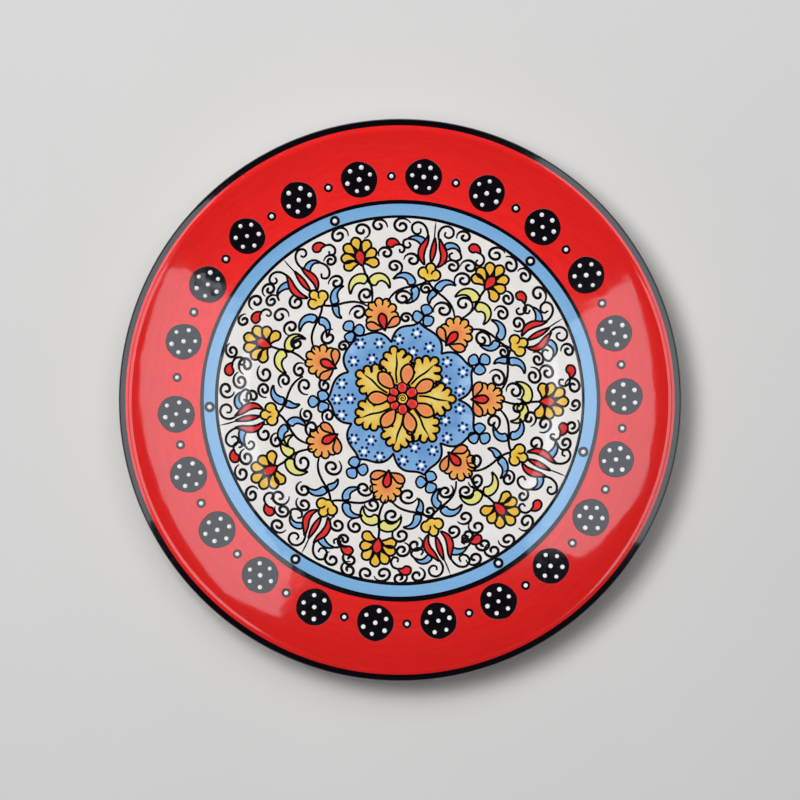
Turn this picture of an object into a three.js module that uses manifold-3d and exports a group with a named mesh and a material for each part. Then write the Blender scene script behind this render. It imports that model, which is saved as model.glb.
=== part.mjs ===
// A hand painted wall plate: a turned clay dish on a foot ring, covered by separate fired layers of
// glaze, with raised lines, spots and beads of enamel trailed on top.
// Millimetres, +Z up. The origin is on the plate's axis, in the plane that the foot ring stands on.
import * as THREE from 'three';
import { mergeVertices } from 'three/addons/utils/BufferGeometryUtils.js';
import Module from 'manifold-3d';

const wasm = await Module();
wasm.setup();

// ---------------------------------------------------------------- driving dimensions (mm, degrees)
const plateRadius = 150;
const lipBandWidth = 3.6; // black band on the lip, seen from the front
const rimWidth = 39.8; // red rim between its two black lines
const contourWidth = 1.3; // trailed black line on each side of the blue band
const blueBandWidth = 6.6;
const floorBlend = 27.4; // the floor starts to rise this far inside the painted field's edge
const wellInset = 14.4; // the well's curve is steepest this far inside that edge
const shelfInset = 5.4; // and eases again here, into a shelf under the blue band

const wellSlope = 6.6; // slope of the face where the well is steepest
const shelfSlope = 4;
const fieldEdgeSlope = 5.7; // at the painted field's edge
const rimInnerSlope = 12; // where the red rim starts
const rimOuterSlope = 30; // at the steepest ring of the rim
const lipSlope = 8; // at the crest of the flared lip
const steepRingInset = 4.9; // the steepest ring lies this far inside the black lip band

const clayThickness = 4.6;
const lipRoundDepth = 0.6; // how far the rounded edge stands out past the crest
const glazeThickness = 0.5; // a layer's outer face, from the clay
const lineHeight = 0.9; // a trailed line's crown, from the clay

const footHeight = 7;
const footInset = 4.5; // from the painted field's edge in to the foot ring's outer side
const footWidth = 6; // at the standing face
const footTaper = 1.5; // the ring grows by this much on each side up to its root
const hangingHoleRadius = 1.5;
const hangingHoleHeight = 3.6; // the hole's axis, above the standing face
const hangingHoleAngle = 18; // each hole, from the plate's top

const spotCount = 22;
const spotRadius = 9.6;
const spotInset = 3.8; // from the inner edge of the red rim to the spots
const spotHeight = 0.5;
const beadRadius = 2.2; // the small bead between two spots
const beadHeight = 1.1;
const firstSpotAzimuth = -176.4;
const spotStep = 16.25; // the painter's own step, a little short of a full turn's share
const handWander = [1.1, 0.7, -0.4, 0.3]; // drift of that step, as half waves round the rim

const bandBeadRadius = 2.45;
const bandBeadHeight = 1.2;
const bandBeadAzimuths = [110, 46.8, -15.8, -58.9, -123.3, -177.9];

const medallionTipRadius = 41.5;
const medallionNotchRadius = 33;
const medallionLobes = 7;
const medallionTipAzimuth = 23; // the first lobe's tip
const medallionHeight = 0.4;

const fusedGap = 0.05; // between the clay and a layer fired onto it
const seatGap = 0.3; // between a deposit and the layer that it was laid on
const turnSteps = 48; // facets round a turned piece
const spotSteps = 12;
const beadSteps = 6;
const edgeSteps = 6; // over the rounded edge

// ---------------------------------------------------------------- ring radii, from the edge inwards
const lipStart = plateRadius - lipBandWidth;
const rimStart = lipStart - rimWidth;
const bandEnd = rimStart - contourWidth;
const bandStart = bandEnd - blueBandWidth;
const fieldRadius = bandStart - contourWidth;
const floorRadius = fieldRadius - floorBlend;
const wellRadius = fieldRadius - wellInset;
const shelfRadius = fieldRadius - shelfInset;
const steepRadius = lipStart - steepRingInset;
const footOuterRadius = fieldRadius - footInset;

const radians = THREE.MathUtils.degToRad;
const lipSine = Math.sin(radians(lipSlope));
const lipCosine = Math.cos(radians(lipSlope));
const halfEdge = clayThickness / 2;
const clayRadius = plateRadius - glazeThickness;
const crestRadius = clayRadius - halfEdge * lipSine
  - Math.hypot(lipRoundDepth * lipCosine, halfEdge * lipSine);

// The clay's face is a chain of arcs: between two knots the sine of its slope is linear in the radius.
const slopeKnots = [
  { radius: floorRadius, slope: 0 },
  { radius: wellRadius, slope: wellSlope },
  { radius: shelfRadius, slope: shelfSlope },
  { radius: fieldRadius, slope: fieldEdgeSlope },
  { radius: rimStart, slope: rimInnerSlope },
  { radius: steepRadius, slope: rimOuterSlope },
  { radius: crestRadius, slope: lipSlope },
];

// ---------------------------------------------------------------- the clay's outline

/** Radius, height and outward unit normal of the clay's face at a radius. */
function faceAt(radius) {
  let height = footHeight + clayThickness;
  let sine = 0;
  for (let i = 1; i < slopeKnots.length && radius > slopeKnots[i - 1].radius; i++) {
    const start = slopeKnots[i - 1];
    const end = slopeKnots[i];
    const startSine = Math.sin(radians(start.slope));
    const bend = (Math.sin(radians(end.slope)) - startSine) / (end.radius - start.radius);
    sine = startSine + bend * (Math.min(radius, end.radius) - start.radius);
    height += (Math.sqrt(1 - startSine ** 2) - Math.sqrt(1 - sine ** 2)) / bend;
  }
  return { r: radius, z: height, nr: -sine, nz: Math.sqrt(1 - sine ** 2) };
}

/** The clay's face from one radius to another, both included. */
function faceStretch(from, to, steps) {
  const stations = [];
  for (let i = 0; i <= steps; i++) stations.push(faceAt(from + (to - from) * i / steps));
  return stations;
}

/** The underside below some stations of the face: the same curve, one wall thickness away. */
function underside(stations) {
  return stations.map(({ r, z, nr, nz }) => ({
    r: r - nr * clayThickness,
    z: z - nz * clayThickness,
    nr: -nr,
    nz: -nz,
  }));
}

/** The rounded edge, a half ellipse from the crest's face to its underside, both ends left out. */
function roundedEdge(steps) {
  const crest = faceAt(crestRadius);
  const middle = { r: crest.r - crest.nr * halfEdge, z: crest.z - crest.nz * halfEdge };
  const stations = [];
  for (let i = 1; i < steps; i++) {
    const angle = Math.PI * (0.5 - i / steps);
    const out = lipRoundDepth * Math.cos(angle);
    const up = halfEdge * Math.sin(angle);
    const leanOut = Math.cos(angle) / lipRoundDepth;
    const leanUp = Math.sin(angle) / halfEdge;
    const length = Math.hypot(leanOut, leanUp);
    stations.push({
      r: middle.r + out * lipCosine - up * lipSine,
      z: middle.z + out * lipSine + up * lipCosine,
      nr: (leanOut * lipCosine - leanUp * lipSine) / length,
      nz: (leanOut * lipSine + leanUp * lipCosine) / length,
    });
  }
  return stations;
}

const fieldFace = [0, floorRadius, wellRadius, shelfRadius, fieldRadius].map(faceAt);
const innerContourFace = faceStretch(fieldRadius, bandStart, 1);
const blueBandFace = faceStretch(bandStart, bandEnd, 1);
const outerContourFace = faceStretch(bandEnd, rimStart, 1);
const rimFace = [...faceStretch(rimStart, steepRadius, 5), faceAt(lipStart)];
const lipFace = faceStretch(lipStart, crestRadius, 1);
const backFace = underside([...faceStretch(footOuterRadius, rimStart, 2), ...rimFace.slice(1)]);
const lipEdge = [...lipFace, ...roundedEdge(edgeSteps), ...underside(lipFace).reverse()];

// ---------------------------------------------------------------- geometry helpers

/** Turns a profile of {r, z} about the plate's axis. The profile runs anticlockwise seen with r to the right. */
function turned(profile, steps = turnSteps) {
  const geometry = new THREE.LatheGeometry(profile.map(({ r, z }) => new THREE.Vector2(r, z)), steps);
  return geometry.rotateX(Math.PI / 2);
}

/** A stretch of the clay's outline, moved out along its normals. */
function raised(stations, distance) {
  return stations.map(({ r, z, nr, nz }) => ({ r: r + nr * distance, z: z + nz * distance }));
}

/** A fired layer over a stretch of the clay's outline, up to a height. Stations run outwards or down. */
function layer(stations, height) {
  return [...raised(stations, fusedGap), ...raised(stations, height).reverse()];
}

/** Closes a ring's profile on itself. */
function ring(profile) {
  return [...profile, profile[0]];
}

/** Moves a flat piece's vertices so that its z = 0 plane lies on the glazed face, at a ring radius and azimuth. */
function drape(geometry, ringRadius, azimuth, lift) {
  const position = geometry.attributes.position;
  const turn = radians(azimuth);
  for (let i = 0; i < position.count; i++) {
    const x = ringRadius + position.getX(i);
    const y = position.getY(i);
    const height = lift + position.getZ(i);
    const face = faceAt(Math.hypot(x, y));
    const angle = turn + Math.atan2(y, x);
    const radius = face.r + face.nr * height;
    position.setXYZ(i, radius * Math.cos(angle), radius * Math.sin(angle), face.z + face.nz * height);
  }
  return geometry;
}

/** A low round deposit: a disc with a sloped shoulder. */
function deposit(radius, height, steps) {
  const shoulder = height / 2;
  return turned([
    { r: 0, z: 0 },
    { r: radius, z: 0 },
    { r: radius, z: height - shoulder },
    { r: radius - shoulder, z: height },
    { r: 0, z: height },
  ], steps);
}

/** The same closed geometry as a manifold solid. */
function solid(geometry) {
  const bare = geometry.clone();
  bare.deleteAttribute('normal');
  bare.deleteAttribute('uv');
  const merged = mergeVertices(bare);
  const corners = merged.index.array;
  const triVerts = [];
  for (let i = 0; i < corners.length; i += 3) {
    const [a, b, c] = [corners[i], corners[i + 1], corners[i + 2]];
    if (a !== b && b !== c && c !== a) triVerts.push(a, b, c);
  }
  return new wasm.Manifold(new wasm.Mesh({
    numProp: 3,
    vertProperties: new Float32Array(merged.attributes.position.array),
    triVerts: new Uint32Array(triVerts),
  }));
}

/** A manifold solid as a geometry. */
function geometryOf(manifold) {
  const mesh = manifold.getMesh();
  const geometry = new THREE.BufferGeometry();
  geometry.setAttribute('position', new THREE.BufferAttribute(mesh.vertProperties, 3));
  geometry.setIndex(new THREE.BufferAttribute(mesh.triVerts, 1));
  geometry.computeVertexNormals();
  return geometry;
}

// ---------------------------------------------------------------- finishes
const finish = (color, roughness) => new THREE.MeshStandardMaterial({ color, roughness, metalness: 0 });
const clay = finish(0xd9c7ae, 0.85);
const clearGlaze = finish(0xe9e4da, 0.2);
const whiteGlaze = finish(0xe4e1dc, 0.15);
const blackEnamel = finish(0x0a070c, 0.1);
const blueEnamel = finish(0x74a8e0, 0.15);
const redEnamel = finish(0xdf2322, 0.1);
const whiteEnamel = finish(0xf4f2ee, 0.2);

const plate = new THREE.Group();

/** Adds one named sub-part. */
function add(name, geometry, material) {
  const mesh = new THREE.Mesh(geometry, material);
  mesh.name = name;
  plate.add(mesh);
}

// ---------------------------------------------------------------- the clay body

/** A cutter for one hanging hole, straight through the foot ring towards the plate's axis. */
function hangingHoleCutter(azimuth) {
  const past = 3; // how far the cutter runs past the ring on each side
  const ringDepth = footWidth + 2 * footTaper;
  const cutter = new THREE.CylinderGeometry(hangingHoleRadius, hangingHoleRadius, ringDepth + 2 * past, 12);
  cutter.rotateZ(Math.PI / 2);
  cutter.translate(footOuterRadius - ringDepth / 2, 0, hangingHoleHeight);
  return cutter.rotateZ(radians(azimuth));
}

/** The dish with its foot ring, and the two hanging holes through the ring. */
function plateBody() {
  const footRoot = footOuterRadius - footWidth - 2 * footTaper;
  const face = [
    ...fieldFace, ...innerContourFace.slice(1), ...blueBandFace.slice(1), ...outerContourFace.slice(1),
    ...rimFace.slice(1), ...lipFace.slice(1),
  ];
  const dish = turned([
    { r: 0, z: footHeight },
    { r: footRoot, z: footHeight },
    { r: footRoot + footTaper, z: 0 },
    { r: footRoot + footTaper + footWidth, z: 0 },
    ...backFace,
    ...underside(lipFace).slice(1),
    ...roundedEdge(edgeSteps).reverse(),
    ...face.reverse(),
  ]);
  const top = 90;
  return [top - hangingHoleAngle, top + hangingHoleAngle]
    .reduce((body, azimuth) => body.subtract(solid(hangingHoleCutter(azimuth))), solid(dish));
}
add('plate_body', geometryOf(plateBody()), clay);

// ---------------------------------------------------------------- glaze layers and trailed lines

/** A layer that covers the clay from the axis out to its last station. */
function coveringDisc(stations, height) {
  return turned(layer(stations, height));
}

/** A layer between two circles of the clay's outline. */
function coveringRing(stations, height) {
  return turned(ring(layer(stations, height)));
}

const recessRadius = footOuterRadius - footWidth - 2 * footTaper - seatGap;
add('recess_glaze', turned([
  { r: 0, z: footHeight - glazeThickness },
  { r: recessRadius, z: footHeight - glazeThickness },
  { r: recessRadius, z: footHeight - fusedGap },
  { r: 0, z: footHeight - fusedGap },
]), clearGlaze);
add('back_glaze', coveringRing([...backFace].reverse(), glazeThickness), clearGlaze);
add('white_ground', coveringDisc(fieldFace, glazeThickness), whiteGlaze);
add('inner_contour', coveringRing(innerContourFace, lineHeight), blackEnamel);
add('blue_band', coveringRing(blueBandFace, glazeThickness), blueEnamel);
add('outer_contour', coveringRing(outerContourFace, lineHeight), blackEnamel);
add('rim_enamel', coveringRing(rimFace, glazeThickness), redEnamel);
add('lip_band', coveringRing(lipEdge, glazeThickness), blackEnamel);

// ---------------------------------------------------------------- the medallion

/** The outline of the medallion: pointed lobes, each side an ogee from the notch up to the tip. */
function medallionOutline() {
  const outline = new THREE.Shape();
  const lobe = 2 * Math.PI / medallionLobes;
  const shoulder = 0.2 * lobe; // how far to the side of the tip the lobe is still broad
  const at = (radius, angle) => [radius * Math.cos(angle), radius * Math.sin(angle)];
  const broad = (medallionTipRadius + medallionNotchRadius) / 2;
  const firstTip = radians(medallionTipAzimuth);
  outline.moveTo(...at(medallionNotchRadius, firstTip - lobe / 2));
  for (let i = 0; i < medallionLobes; i++) {
    const tip = firstTip + i * lobe;
    outline.quadraticCurveTo(...at(broad, tip - 1.8 * shoulder), ...at(medallionTipRadius, tip));
    outline.quadraticCurveTo(...at(broad, tip + 1.8 * shoulder), ...at(medallionNotchRadius, tip + lobe / 2));
  }
  return outline;
}

const medallion = new THREE.ExtrudeGeometry(medallionOutline(), {
  depth: medallionHeight,
  bevelEnabled: false,
  curveSegments: 3,
});
medallion.translate(0, 0, footHeight + clayThickness + glazeThickness + seatGap);
add('medallion', medallion, blueEnamel);

// ---------------------------------------------------------------- spots and beads

/** Azimuth of a spot, which the painter set out by eye: an even step and a slow wander. */
function spotAzimuth(index) {
  const share = index / (spotCount - 1);
  const wander = handWander.reduce((sum, size, i) => sum + size * Math.sin((i + 1) * Math.PI * share), 0);
  return firstSpotAzimuth + spotStep * index - wander;
}

/** Azimuth half way from a spot to the next one, the last one's next being the first. */
function beadAzimuth(index) {
  const next = index + 1 < spotCount ? spotAzimuth(index + 1) : spotAzimuth(0) + 360;
  return (spotAzimuth(index) + next) / 2;
}

/** A name with its two-digit number, counted from 1. */
const numbered = (name, index) => `${name}_${String(index + 1).padStart(2, '0')}`;

const spotCircle = rimStart + spotInset + spotRadius;
const onGlaze = glazeThickness + seatGap;
for (let i = 0; i < spotCount; i++) {
  const spot = drape(deposit(spotRadius, spotHeight, spotSteps), spotCircle, spotAzimuth(i), onGlaze);
  add(numbered('rim_spot', i), spot, blackEnamel);
  const bead = drape(deposit(beadRadius, beadHeight, beadSteps), spotCircle, beadAzimuth(i), onGlaze);
  add(numbered('rim_bead', i), bead, whiteEnamel);
}

const bandCircle = (bandStart + bandEnd) / 2;
bandBeadAzimuths.forEach((azimuth, i) => {
  const bead = drape(deposit(bandBeadRadius, bandBeadHeight, beadSteps), bandCircle, azimuth, onGlaze);
  add(numbered('band_bead', i), bead, whiteEnamel);
});

export default plate;
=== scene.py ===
"""A hand painted ceramic wall plate, built around its CAD frame.

The frame gives the sizes and the places: the radii of the painted bands, the height of the floor, the
spots and the beads. This script turns the finer dish, lays its enamels as thin rings, and then paints
the field stroke by stroke. Lengths are worked out in millimetres and put into the meshes in metres.
"""

import logging
import math
from collections.abc import Iterable, Sequence
from dataclasses import dataclass, field
from enum import Enum

import bpy
import numpy as np
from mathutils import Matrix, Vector


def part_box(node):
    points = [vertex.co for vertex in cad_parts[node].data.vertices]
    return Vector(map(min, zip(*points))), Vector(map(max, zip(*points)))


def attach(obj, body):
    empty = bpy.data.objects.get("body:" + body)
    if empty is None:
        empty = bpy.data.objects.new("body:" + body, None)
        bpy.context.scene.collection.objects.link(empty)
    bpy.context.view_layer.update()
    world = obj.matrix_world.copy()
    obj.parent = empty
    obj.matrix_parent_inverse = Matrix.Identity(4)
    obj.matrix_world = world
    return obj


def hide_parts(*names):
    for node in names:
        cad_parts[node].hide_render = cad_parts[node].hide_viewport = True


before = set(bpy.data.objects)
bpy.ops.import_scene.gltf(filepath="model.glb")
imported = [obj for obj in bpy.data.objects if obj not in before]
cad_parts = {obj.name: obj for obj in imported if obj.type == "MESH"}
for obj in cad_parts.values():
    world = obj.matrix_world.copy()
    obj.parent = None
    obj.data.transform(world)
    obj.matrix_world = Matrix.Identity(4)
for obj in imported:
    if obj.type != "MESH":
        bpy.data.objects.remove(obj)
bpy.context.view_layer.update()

log = logging.getLogger("plate")

MM = 0.001
SEED = 7
ROOT = "root"

Colour = tuple[float, float, float, float]
Points = Sequence[tuple[float, float]]


# --------------------------------------------------------------------------------------------------
# Colours and finishes


def srgb(red: float, green: float, blue: float) -> Colour:
    """Turns a colour given as a screen would show it, 0 to 255, into linear light.

    Args:
        red: red of the colour.
        green: green of the colour.
        blue: blue of the colour.

    Returns:
        The linear colour with full opacity.
    """
    shown = np.array([red, green, blue]) / 255
    linear = np.where(shown <= 0.04045, shown / 12.92, ((shown + 0.055) / 1.055) ** 2.4)
    return (*[float(part) for part in linear], 1.0)


class NodeDesk:
    """A short way to add and wire the nodes of one material."""

    def __init__(self, name: str) -> None:
        """Starts an empty material.

        Args:
            name: the material's name.
        """
        self.material = bpy.data.materials.new(name)
        self.material.use_nodes = True
        self.tree = self.material.node_tree
        self.tree.nodes.clear()

    def add(self, kind: str, settings: dict | None = None, **inputs: object) -> bpy.types.Node:
        """Adds a node.

        Args:
            kind: Blender's type name of the node.
            settings: properties of the node itself.
            **inputs: values or sockets for the named inputs, with _ for a space.

        Returns:
            The node.
        """
        node = self.tree.nodes.new(kind)
        for key, value in (settings or {}).items():
            setattr(node, key, value)
        for key, value in inputs.items():
            self.set(node, key.replace("_", " "), value)
        return node

    def set(self, node: bpy.types.Node, socket: str | int, value: object) -> None:
        """Gives an input a plain value, or links another node's output to it.

        Args:
            node: the node.
            socket: the input's name or number.
            value: the value or the output.
        """
        if isinstance(value, bpy.types.NodeSocket):
            self.tree.links.new(value, node.inputs[socket])
        else:
            node.inputs[socket].default_value = value

    def fed(self, kind: str, settings: dict, *inputs: object) -> bpy.types.Node:
        """Adds a node and feeds its first inputs in their order.

        Args:
            kind: Blender's type name of the node.
            settings: properties of the node itself.
            *inputs: values or sockets.

        Returns:
            The node.
        """
        node = self.add(kind, settings)
        for number, value in enumerate(inputs):
            self.set(node, number, value)
        return node

    def maths(self, operation: str, first: object, second: object) -> bpy.types.NodeSocket:
        """One sum of two values or sockets."""
        return self.fed("ShaderNodeMath", {"operation": operation}, first, second).outputs[0]

    def vector(self, operation: str, *inputs: object) -> bpy.types.Node:
        """One sum of two places or sockets."""
        return self.fed("ShaderNodeVectorMath", {"operation": operation}, *inputs)

    def scaled(self, colour: bpy.types.NodeSocket, factor: object) -> bpy.types.NodeSocket:
        """Multiplies a colour or a place by one value.

        Args:
            colour: the colour or place.
            factor: the value or socket.

        Returns:
            The product's socket.
        """
        node = self.vector("SCALE", colour)
        self.set(node, "Scale", factor)
        return node.outputs[0]

    def blend(self, share: object, first: object, second: object) -> bpy.types.NodeSocket:
        """A colour between two.

        Args:
            share: how much of the second there is, 0 to 1.
            first: the first colour.
            second: the second colour.

        Returns:
            The mixed colour's socket.
        """
        node = self.add("ShaderNodeMix", {"data_type": "RGBA"})
        for socket, value in ((0, share), (6, first), (7, second)):
            self.set(node, socket, value)
        return node.outputs[2]

    def ramp(self, value: object, low: float, high: float, start: float, end: float) -> bpy.types.NodeSocket:
        """Carries a value from the range low..high to the range start..end, clamped."""
        return self.fed("ShaderNodeMapRange", {}, value, low, high, start, end).outputs[0]

    def grain(self, place: bpy.types.NodeSocket, scale: float, depth: float) -> bpy.types.NodeSocket:
        """A fine grain of light and dark, from 1 - depth to 1 + depth."""
        return self.ramp(self.noise(place, scale, 4.0, 0.7), 0.25, 0.75, 1 - depth, 1 + depth)

    def noise(
        self, place: object, scale: float, detail: float = 3.0, rough: float = 0.5
    ) -> bpy.types.NodeSocket:
        """Cloudy noise, 0 to 1, with a scale in clouds per metre."""
        node = self.add("ShaderNodeTexNoise", Vector=place, Scale=scale, Detail=detail, Roughness=rough)
        return node.outputs[0]

    def finish(self, shader: bpy.types.Node) -> bpy.types.Material:
        """Wires the shader to the material's output.

        Args:
            shader: the last node.

        Returns:
            The material.
        """
        out = self.add("ShaderNodeOutputMaterial")
        self.tree.links.new(shader.outputs[0], out.inputs[0])
        return self.material


# The part of its range, 0 to 1, in which nearly all of a cloudy noise falls.
CLOUD_SPAN = (0.3, 0.7)


@dataclass(frozen=True)
class GlazeSkin:
    """The clear glaze over every colour: its gloss, its slow waves and its pinholes."""

    roughness: float = 0.05
    patchiness: float = 0.035
    wave_scale: float = 75.0
    wave_height: float = 0.00010
    ripple_scale: float = 420.0
    ripple_height: float = 0.000006
    pinhole_scale: float = 1500.0
    pinhole_depth: float = 0.00001

    def dress(self, desk: NodeDesk, place: bpy.types.NodeSocket, shader: bpy.types.Node) -> None:
        """Sets the gloss and the bump of a shader.

        The roughness is a base plus a slow cloud. The height is slow waves, finer ripples and rare
        pinholes, each a noise times its depth in metres.

        Args:
            desk: the material being built.
            place: the coordinates that every glaze shares, so that its waves run on over the colours.
            shader: the Principled shader.
        """
        cloud = desk.noise(place, self.wave_scale)
        gloss = desk.ramp(cloud, *CLOUD_SPAN, self.roughness, self.roughness + self.patchiness)
        desk.set(shader, "Roughness", gloss)
        desk.set(shader, "IOR", 1.5)
        waves = desk.maths("MULTIPLY", desk.noise(place, self.wave_scale, 1.0), self.wave_height)
        ripples = desk.maths("MULTIPLY", desk.noise(place, self.ripple_scale, 2.0), self.ripple_height)
        pins = desk.add("ShaderNodeTexVoronoi", Vector=place, Scale=self.pinhole_scale)
        pits = desk.ramp(pins.outputs["Distance"], 0.05, 0.25, -self.pinhole_depth, 0.0)
        height = desk.maths("ADD", desk.maths("ADD", waves, ripples), pits)
        bump = desk.add("ShaderNodeBump", Strength=1.0, Distance=1.0, Height=height)
        desk.set(shader, "Normal", bump.outputs[0])


@dataclass(frozen=True)
class Enamel:
    """A colour brushed under the glaze: thinner at the edge of its pool, cloudy, and grained."""

    name: str
    edge: Colour
    heart: Colour
    cloud: Colour
    cloudiness: float = 0.35
    cloud_scale: float = 160.0
    grain: float = 0.10
    grain_scale: float = 1500.0
    pool_start: float = 0.15
    pool_end: float = 0.75
    skin: GlazeSkin = field(default_factory=GlazeSkin)

    def build(self) -> bpy.types.Material:
        """Makes the material.

        The colour goes from edge to heart by the "pool" attribute of the stroke, is mixed with the
        cloud colour by a noise, and is made lighter or darker by a fine grain.

        Returns:
            The material.
        """
        desk = NodeDesk(self.name)
        place = desk.add("ShaderNodeTexCoord").outputs["Object"]
        pool = desk.add("ShaderNodeAttribute", {"attribute_name": "pool"}).outputs["Fac"]
        depth = desk.ramp(pool, self.pool_start, self.pool_end, 0.0, 1.0)
        colour = desk.blend(depth, self.edge, self.heart)
        clouds = desk.ramp(desk.noise(place, self.cloud_scale), 0.4, 0.7, 0.0, self.cloudiness)
        colour = desk.blend(clouds, colour, self.cloud)
        shader = desk.add("ShaderNodeBsdfPrincipled")
        desk.set(shader, "Base Color", desk.scaled(colour, desk.grain(place, self.grain_scale, self.grain)))
        self.skin.dress(desk, place, shader)
        return desk.finish(shader)


# The direction across the plate towards its top and a little to the left. That side is painted paler as painted
# light, and the opposite side darker as painted shade.
PAINTED_LIGHT_WAY = (-0.5, 0.866, 0.0)


@dataclass(frozen=True)
class BandedEnamel:
    """A colour laid on a turning wheel: its streaks run round the plate, and it shades from in to out.

    By lean, the side towards the top left is painted paler and the other side darker: painted light and painted
    shade across the plate.
    """

    name: str
    inner: Colour
    outer: Colour
    streak: Colour
    inner_radius: float
    outer_radius: float
    streakiness: float = 0.5
    # How much paler and darker the two sides are painted: painted light and shade.
    lean: float = 0.0
    turns_scale: float = 9.0
    across_scale: float = 420.0
    grain: float = 0.05
    grain_scale: float = 900.0
    skin: GlazeSkin = field(default_factory=GlazeSkin)

    def build(self) -> bpy.types.Material:
        """Makes the material.

        The radius is the length of the place across the plate. A noise on the direction from the
        middle and on the radius, squeezed so that it changes slowly round and quickly across, gives
        the streaks.

        Returns:
            The material.
        """
        desk = NodeDesk(self.name)
        place = desk.add("ShaderNodeTexCoord").outputs["Object"]
        flat = desk.vector("MULTIPLY", place, (1.0, 1.0, 0.0)).outputs[0]
        radius = desk.vector("LENGTH", flat).outputs["Value"]
        way = desk.scaled(desk.vector("NORMALIZE", flat).outputs[0], self.turns_scale)
        parts = desk.fed("ShaderNodeSeparateXYZ", {}, way).outputs
        outward = desk.maths("MULTIPLY", radius, self.across_scale)
        streak_place = desk.fed("ShaderNodeCombineXYZ", {}, parts[0], parts[1], outward)
        streaks = desk.noise(streak_place.outputs[0], 1.0, 4.0, 0.6)
        across = desk.ramp(radius, self.inner_radius * MM, self.outer_radius * MM, 0.0, 1.0)
        colour = desk.blend(across, self.inner, self.outer)
        colour = desk.blend(desk.ramp(streaks, 0.35, 0.75, 0.0, self.streakiness), colour, self.streak)
        # Painted light and shade: paler towards the top left, darker towards the bottom right.
        light_side = desk.vector("DOT_PRODUCT", place, PAINTED_LIGHT_WAY).outputs["Value"]
        edge = self.outer_radius * MM
        painted_light = desk.ramp(light_side, -edge, edge, 1 - self.lean, 1 + self.lean)
        shade = desk.maths("MULTIPLY", desk.grain(place, self.grain_scale, self.grain), painted_light)
        shader = desk.add("ShaderNodeBsdfPrincipled")
        desk.set(shader, "Base Color", desk.scaled(colour, shade))
        self.skin.dress(desk, place, shader)
        return desk.finish(shader)


@dataclass(frozen=True)
class BareClay:
    """Unglazed fired clay: chalky and speckled with grog."""

    name: str = "bare_clay"
    pale: Colour = srgb(226, 208, 182)
    dark: Colour = srgb(188, 160, 128)
    speck: Colour = srgb(122, 92, 66)

    def build(self) -> bpy.types.Material:
        """Makes the material: two clays mixed by a cloud, fine specks, and a sandy bump.

        Returns:
            The material.
        """
        desk = NodeDesk(self.name)
        place = desk.add("ShaderNodeTexCoord").outputs["Object"]
        colour = desk.blend(desk.ramp(desk.noise(place, 90.0), *CLOUD_SPAN, 0.0, 0.8), self.pale, self.dark)
        specks = desk.ramp(desk.noise(place, 1900.0, 2.0), 0.64, 0.72, 0.0, 0.6)
        shader = desk.add("ShaderNodeBsdfPrincipled")
        desk.set(shader, "Base Color", desk.blend(specks, colour, self.speck))
        sand = desk.noise(place, 1300.0, 5.0, 0.7)
        desk.set(shader, "Roughness", desk.ramp(sand, *CLOUD_SPAN, 0.72, 0.95))
        bump = desk.add("ShaderNodeBump", Strength=0.6, Distance=0.0002, Height=sand)
        desk.set(shader, "Normal", bump.outputs[0])
        return desk.finish(shader)


@dataclass(frozen=True)
class StudioFloor:
    """A plain pale table top, matt, with the faintest unevenness."""

    name: str = "studio_floor"
    colour: Colour = srgb(228, 227, 226)
    shade: Colour = srgb(222, 221, 220)

    def build(self) -> bpy.types.Material:
        """Makes the material.

        Returns:
            The material.
        """
        desk = NodeDesk(self.name)
        place = desk.add("ShaderNodeTexCoord").outputs["Object"]
        shader = desk.add("ShaderNodeBsdfPrincipled", Roughness=0.9)
        desk.set(shader, "Specular IOR Level", 0.1)
        desk.set(shader, "Base Color", desk.blend(desk.noise(place, 6.0), self.colour, self.shade))
        return desk.finish(shader)


# --------------------------------------------------------------------------------------------------
# The plate's shape


def reach(node: str) -> float:
    """The outer radius of a round CAD node, in millimetres."""
    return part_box(node)[1].x / MM


def round_steps(count: int) -> np.ndarray:
    """The angles of even steps round a circle, in radians."""
    return np.arange(count) * 2 * np.pi / count


def ways(turn: np.ndarray) -> np.ndarray:
    """The unit directions at some angles, n by 2."""
    return np.column_stack([np.cos(turn), np.sin(turn)])


def strips(index: np.ndarray, beside: np.ndarray) -> list[list[int]]:
    """The four-sided faces between rows of corner numbers and the numbers beside them."""
    return np.stack([index[:-1], index[1:], beside[1:], beside[:-1]], axis=-1).reshape(-1, 4).tolist()


def dome_faces(rings: int, count: int) -> list[list[int]]:
    """The faces of a dome.

    Args:
        rings: rings of corners, numbered from the outermost in, with the tip after the last.
        count: corners of each ring.

    Returns:
        The sides and the crown, seen counter-clockwise from above.
    """
    index = np.arange(rings * count).reshape(rings, count)
    beside = np.roll(index, -1, axis=1)
    sides = np.stack([index[:-1], beside[:-1], beside[1:], index[1:]], axis=-1).reshape(-1, 4)
    crown = np.stack([index[-1], beside[-1], np.full(count, rings * count)], axis=-1)
    return [*sides.tolist(), *crown.tolist()]


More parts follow.
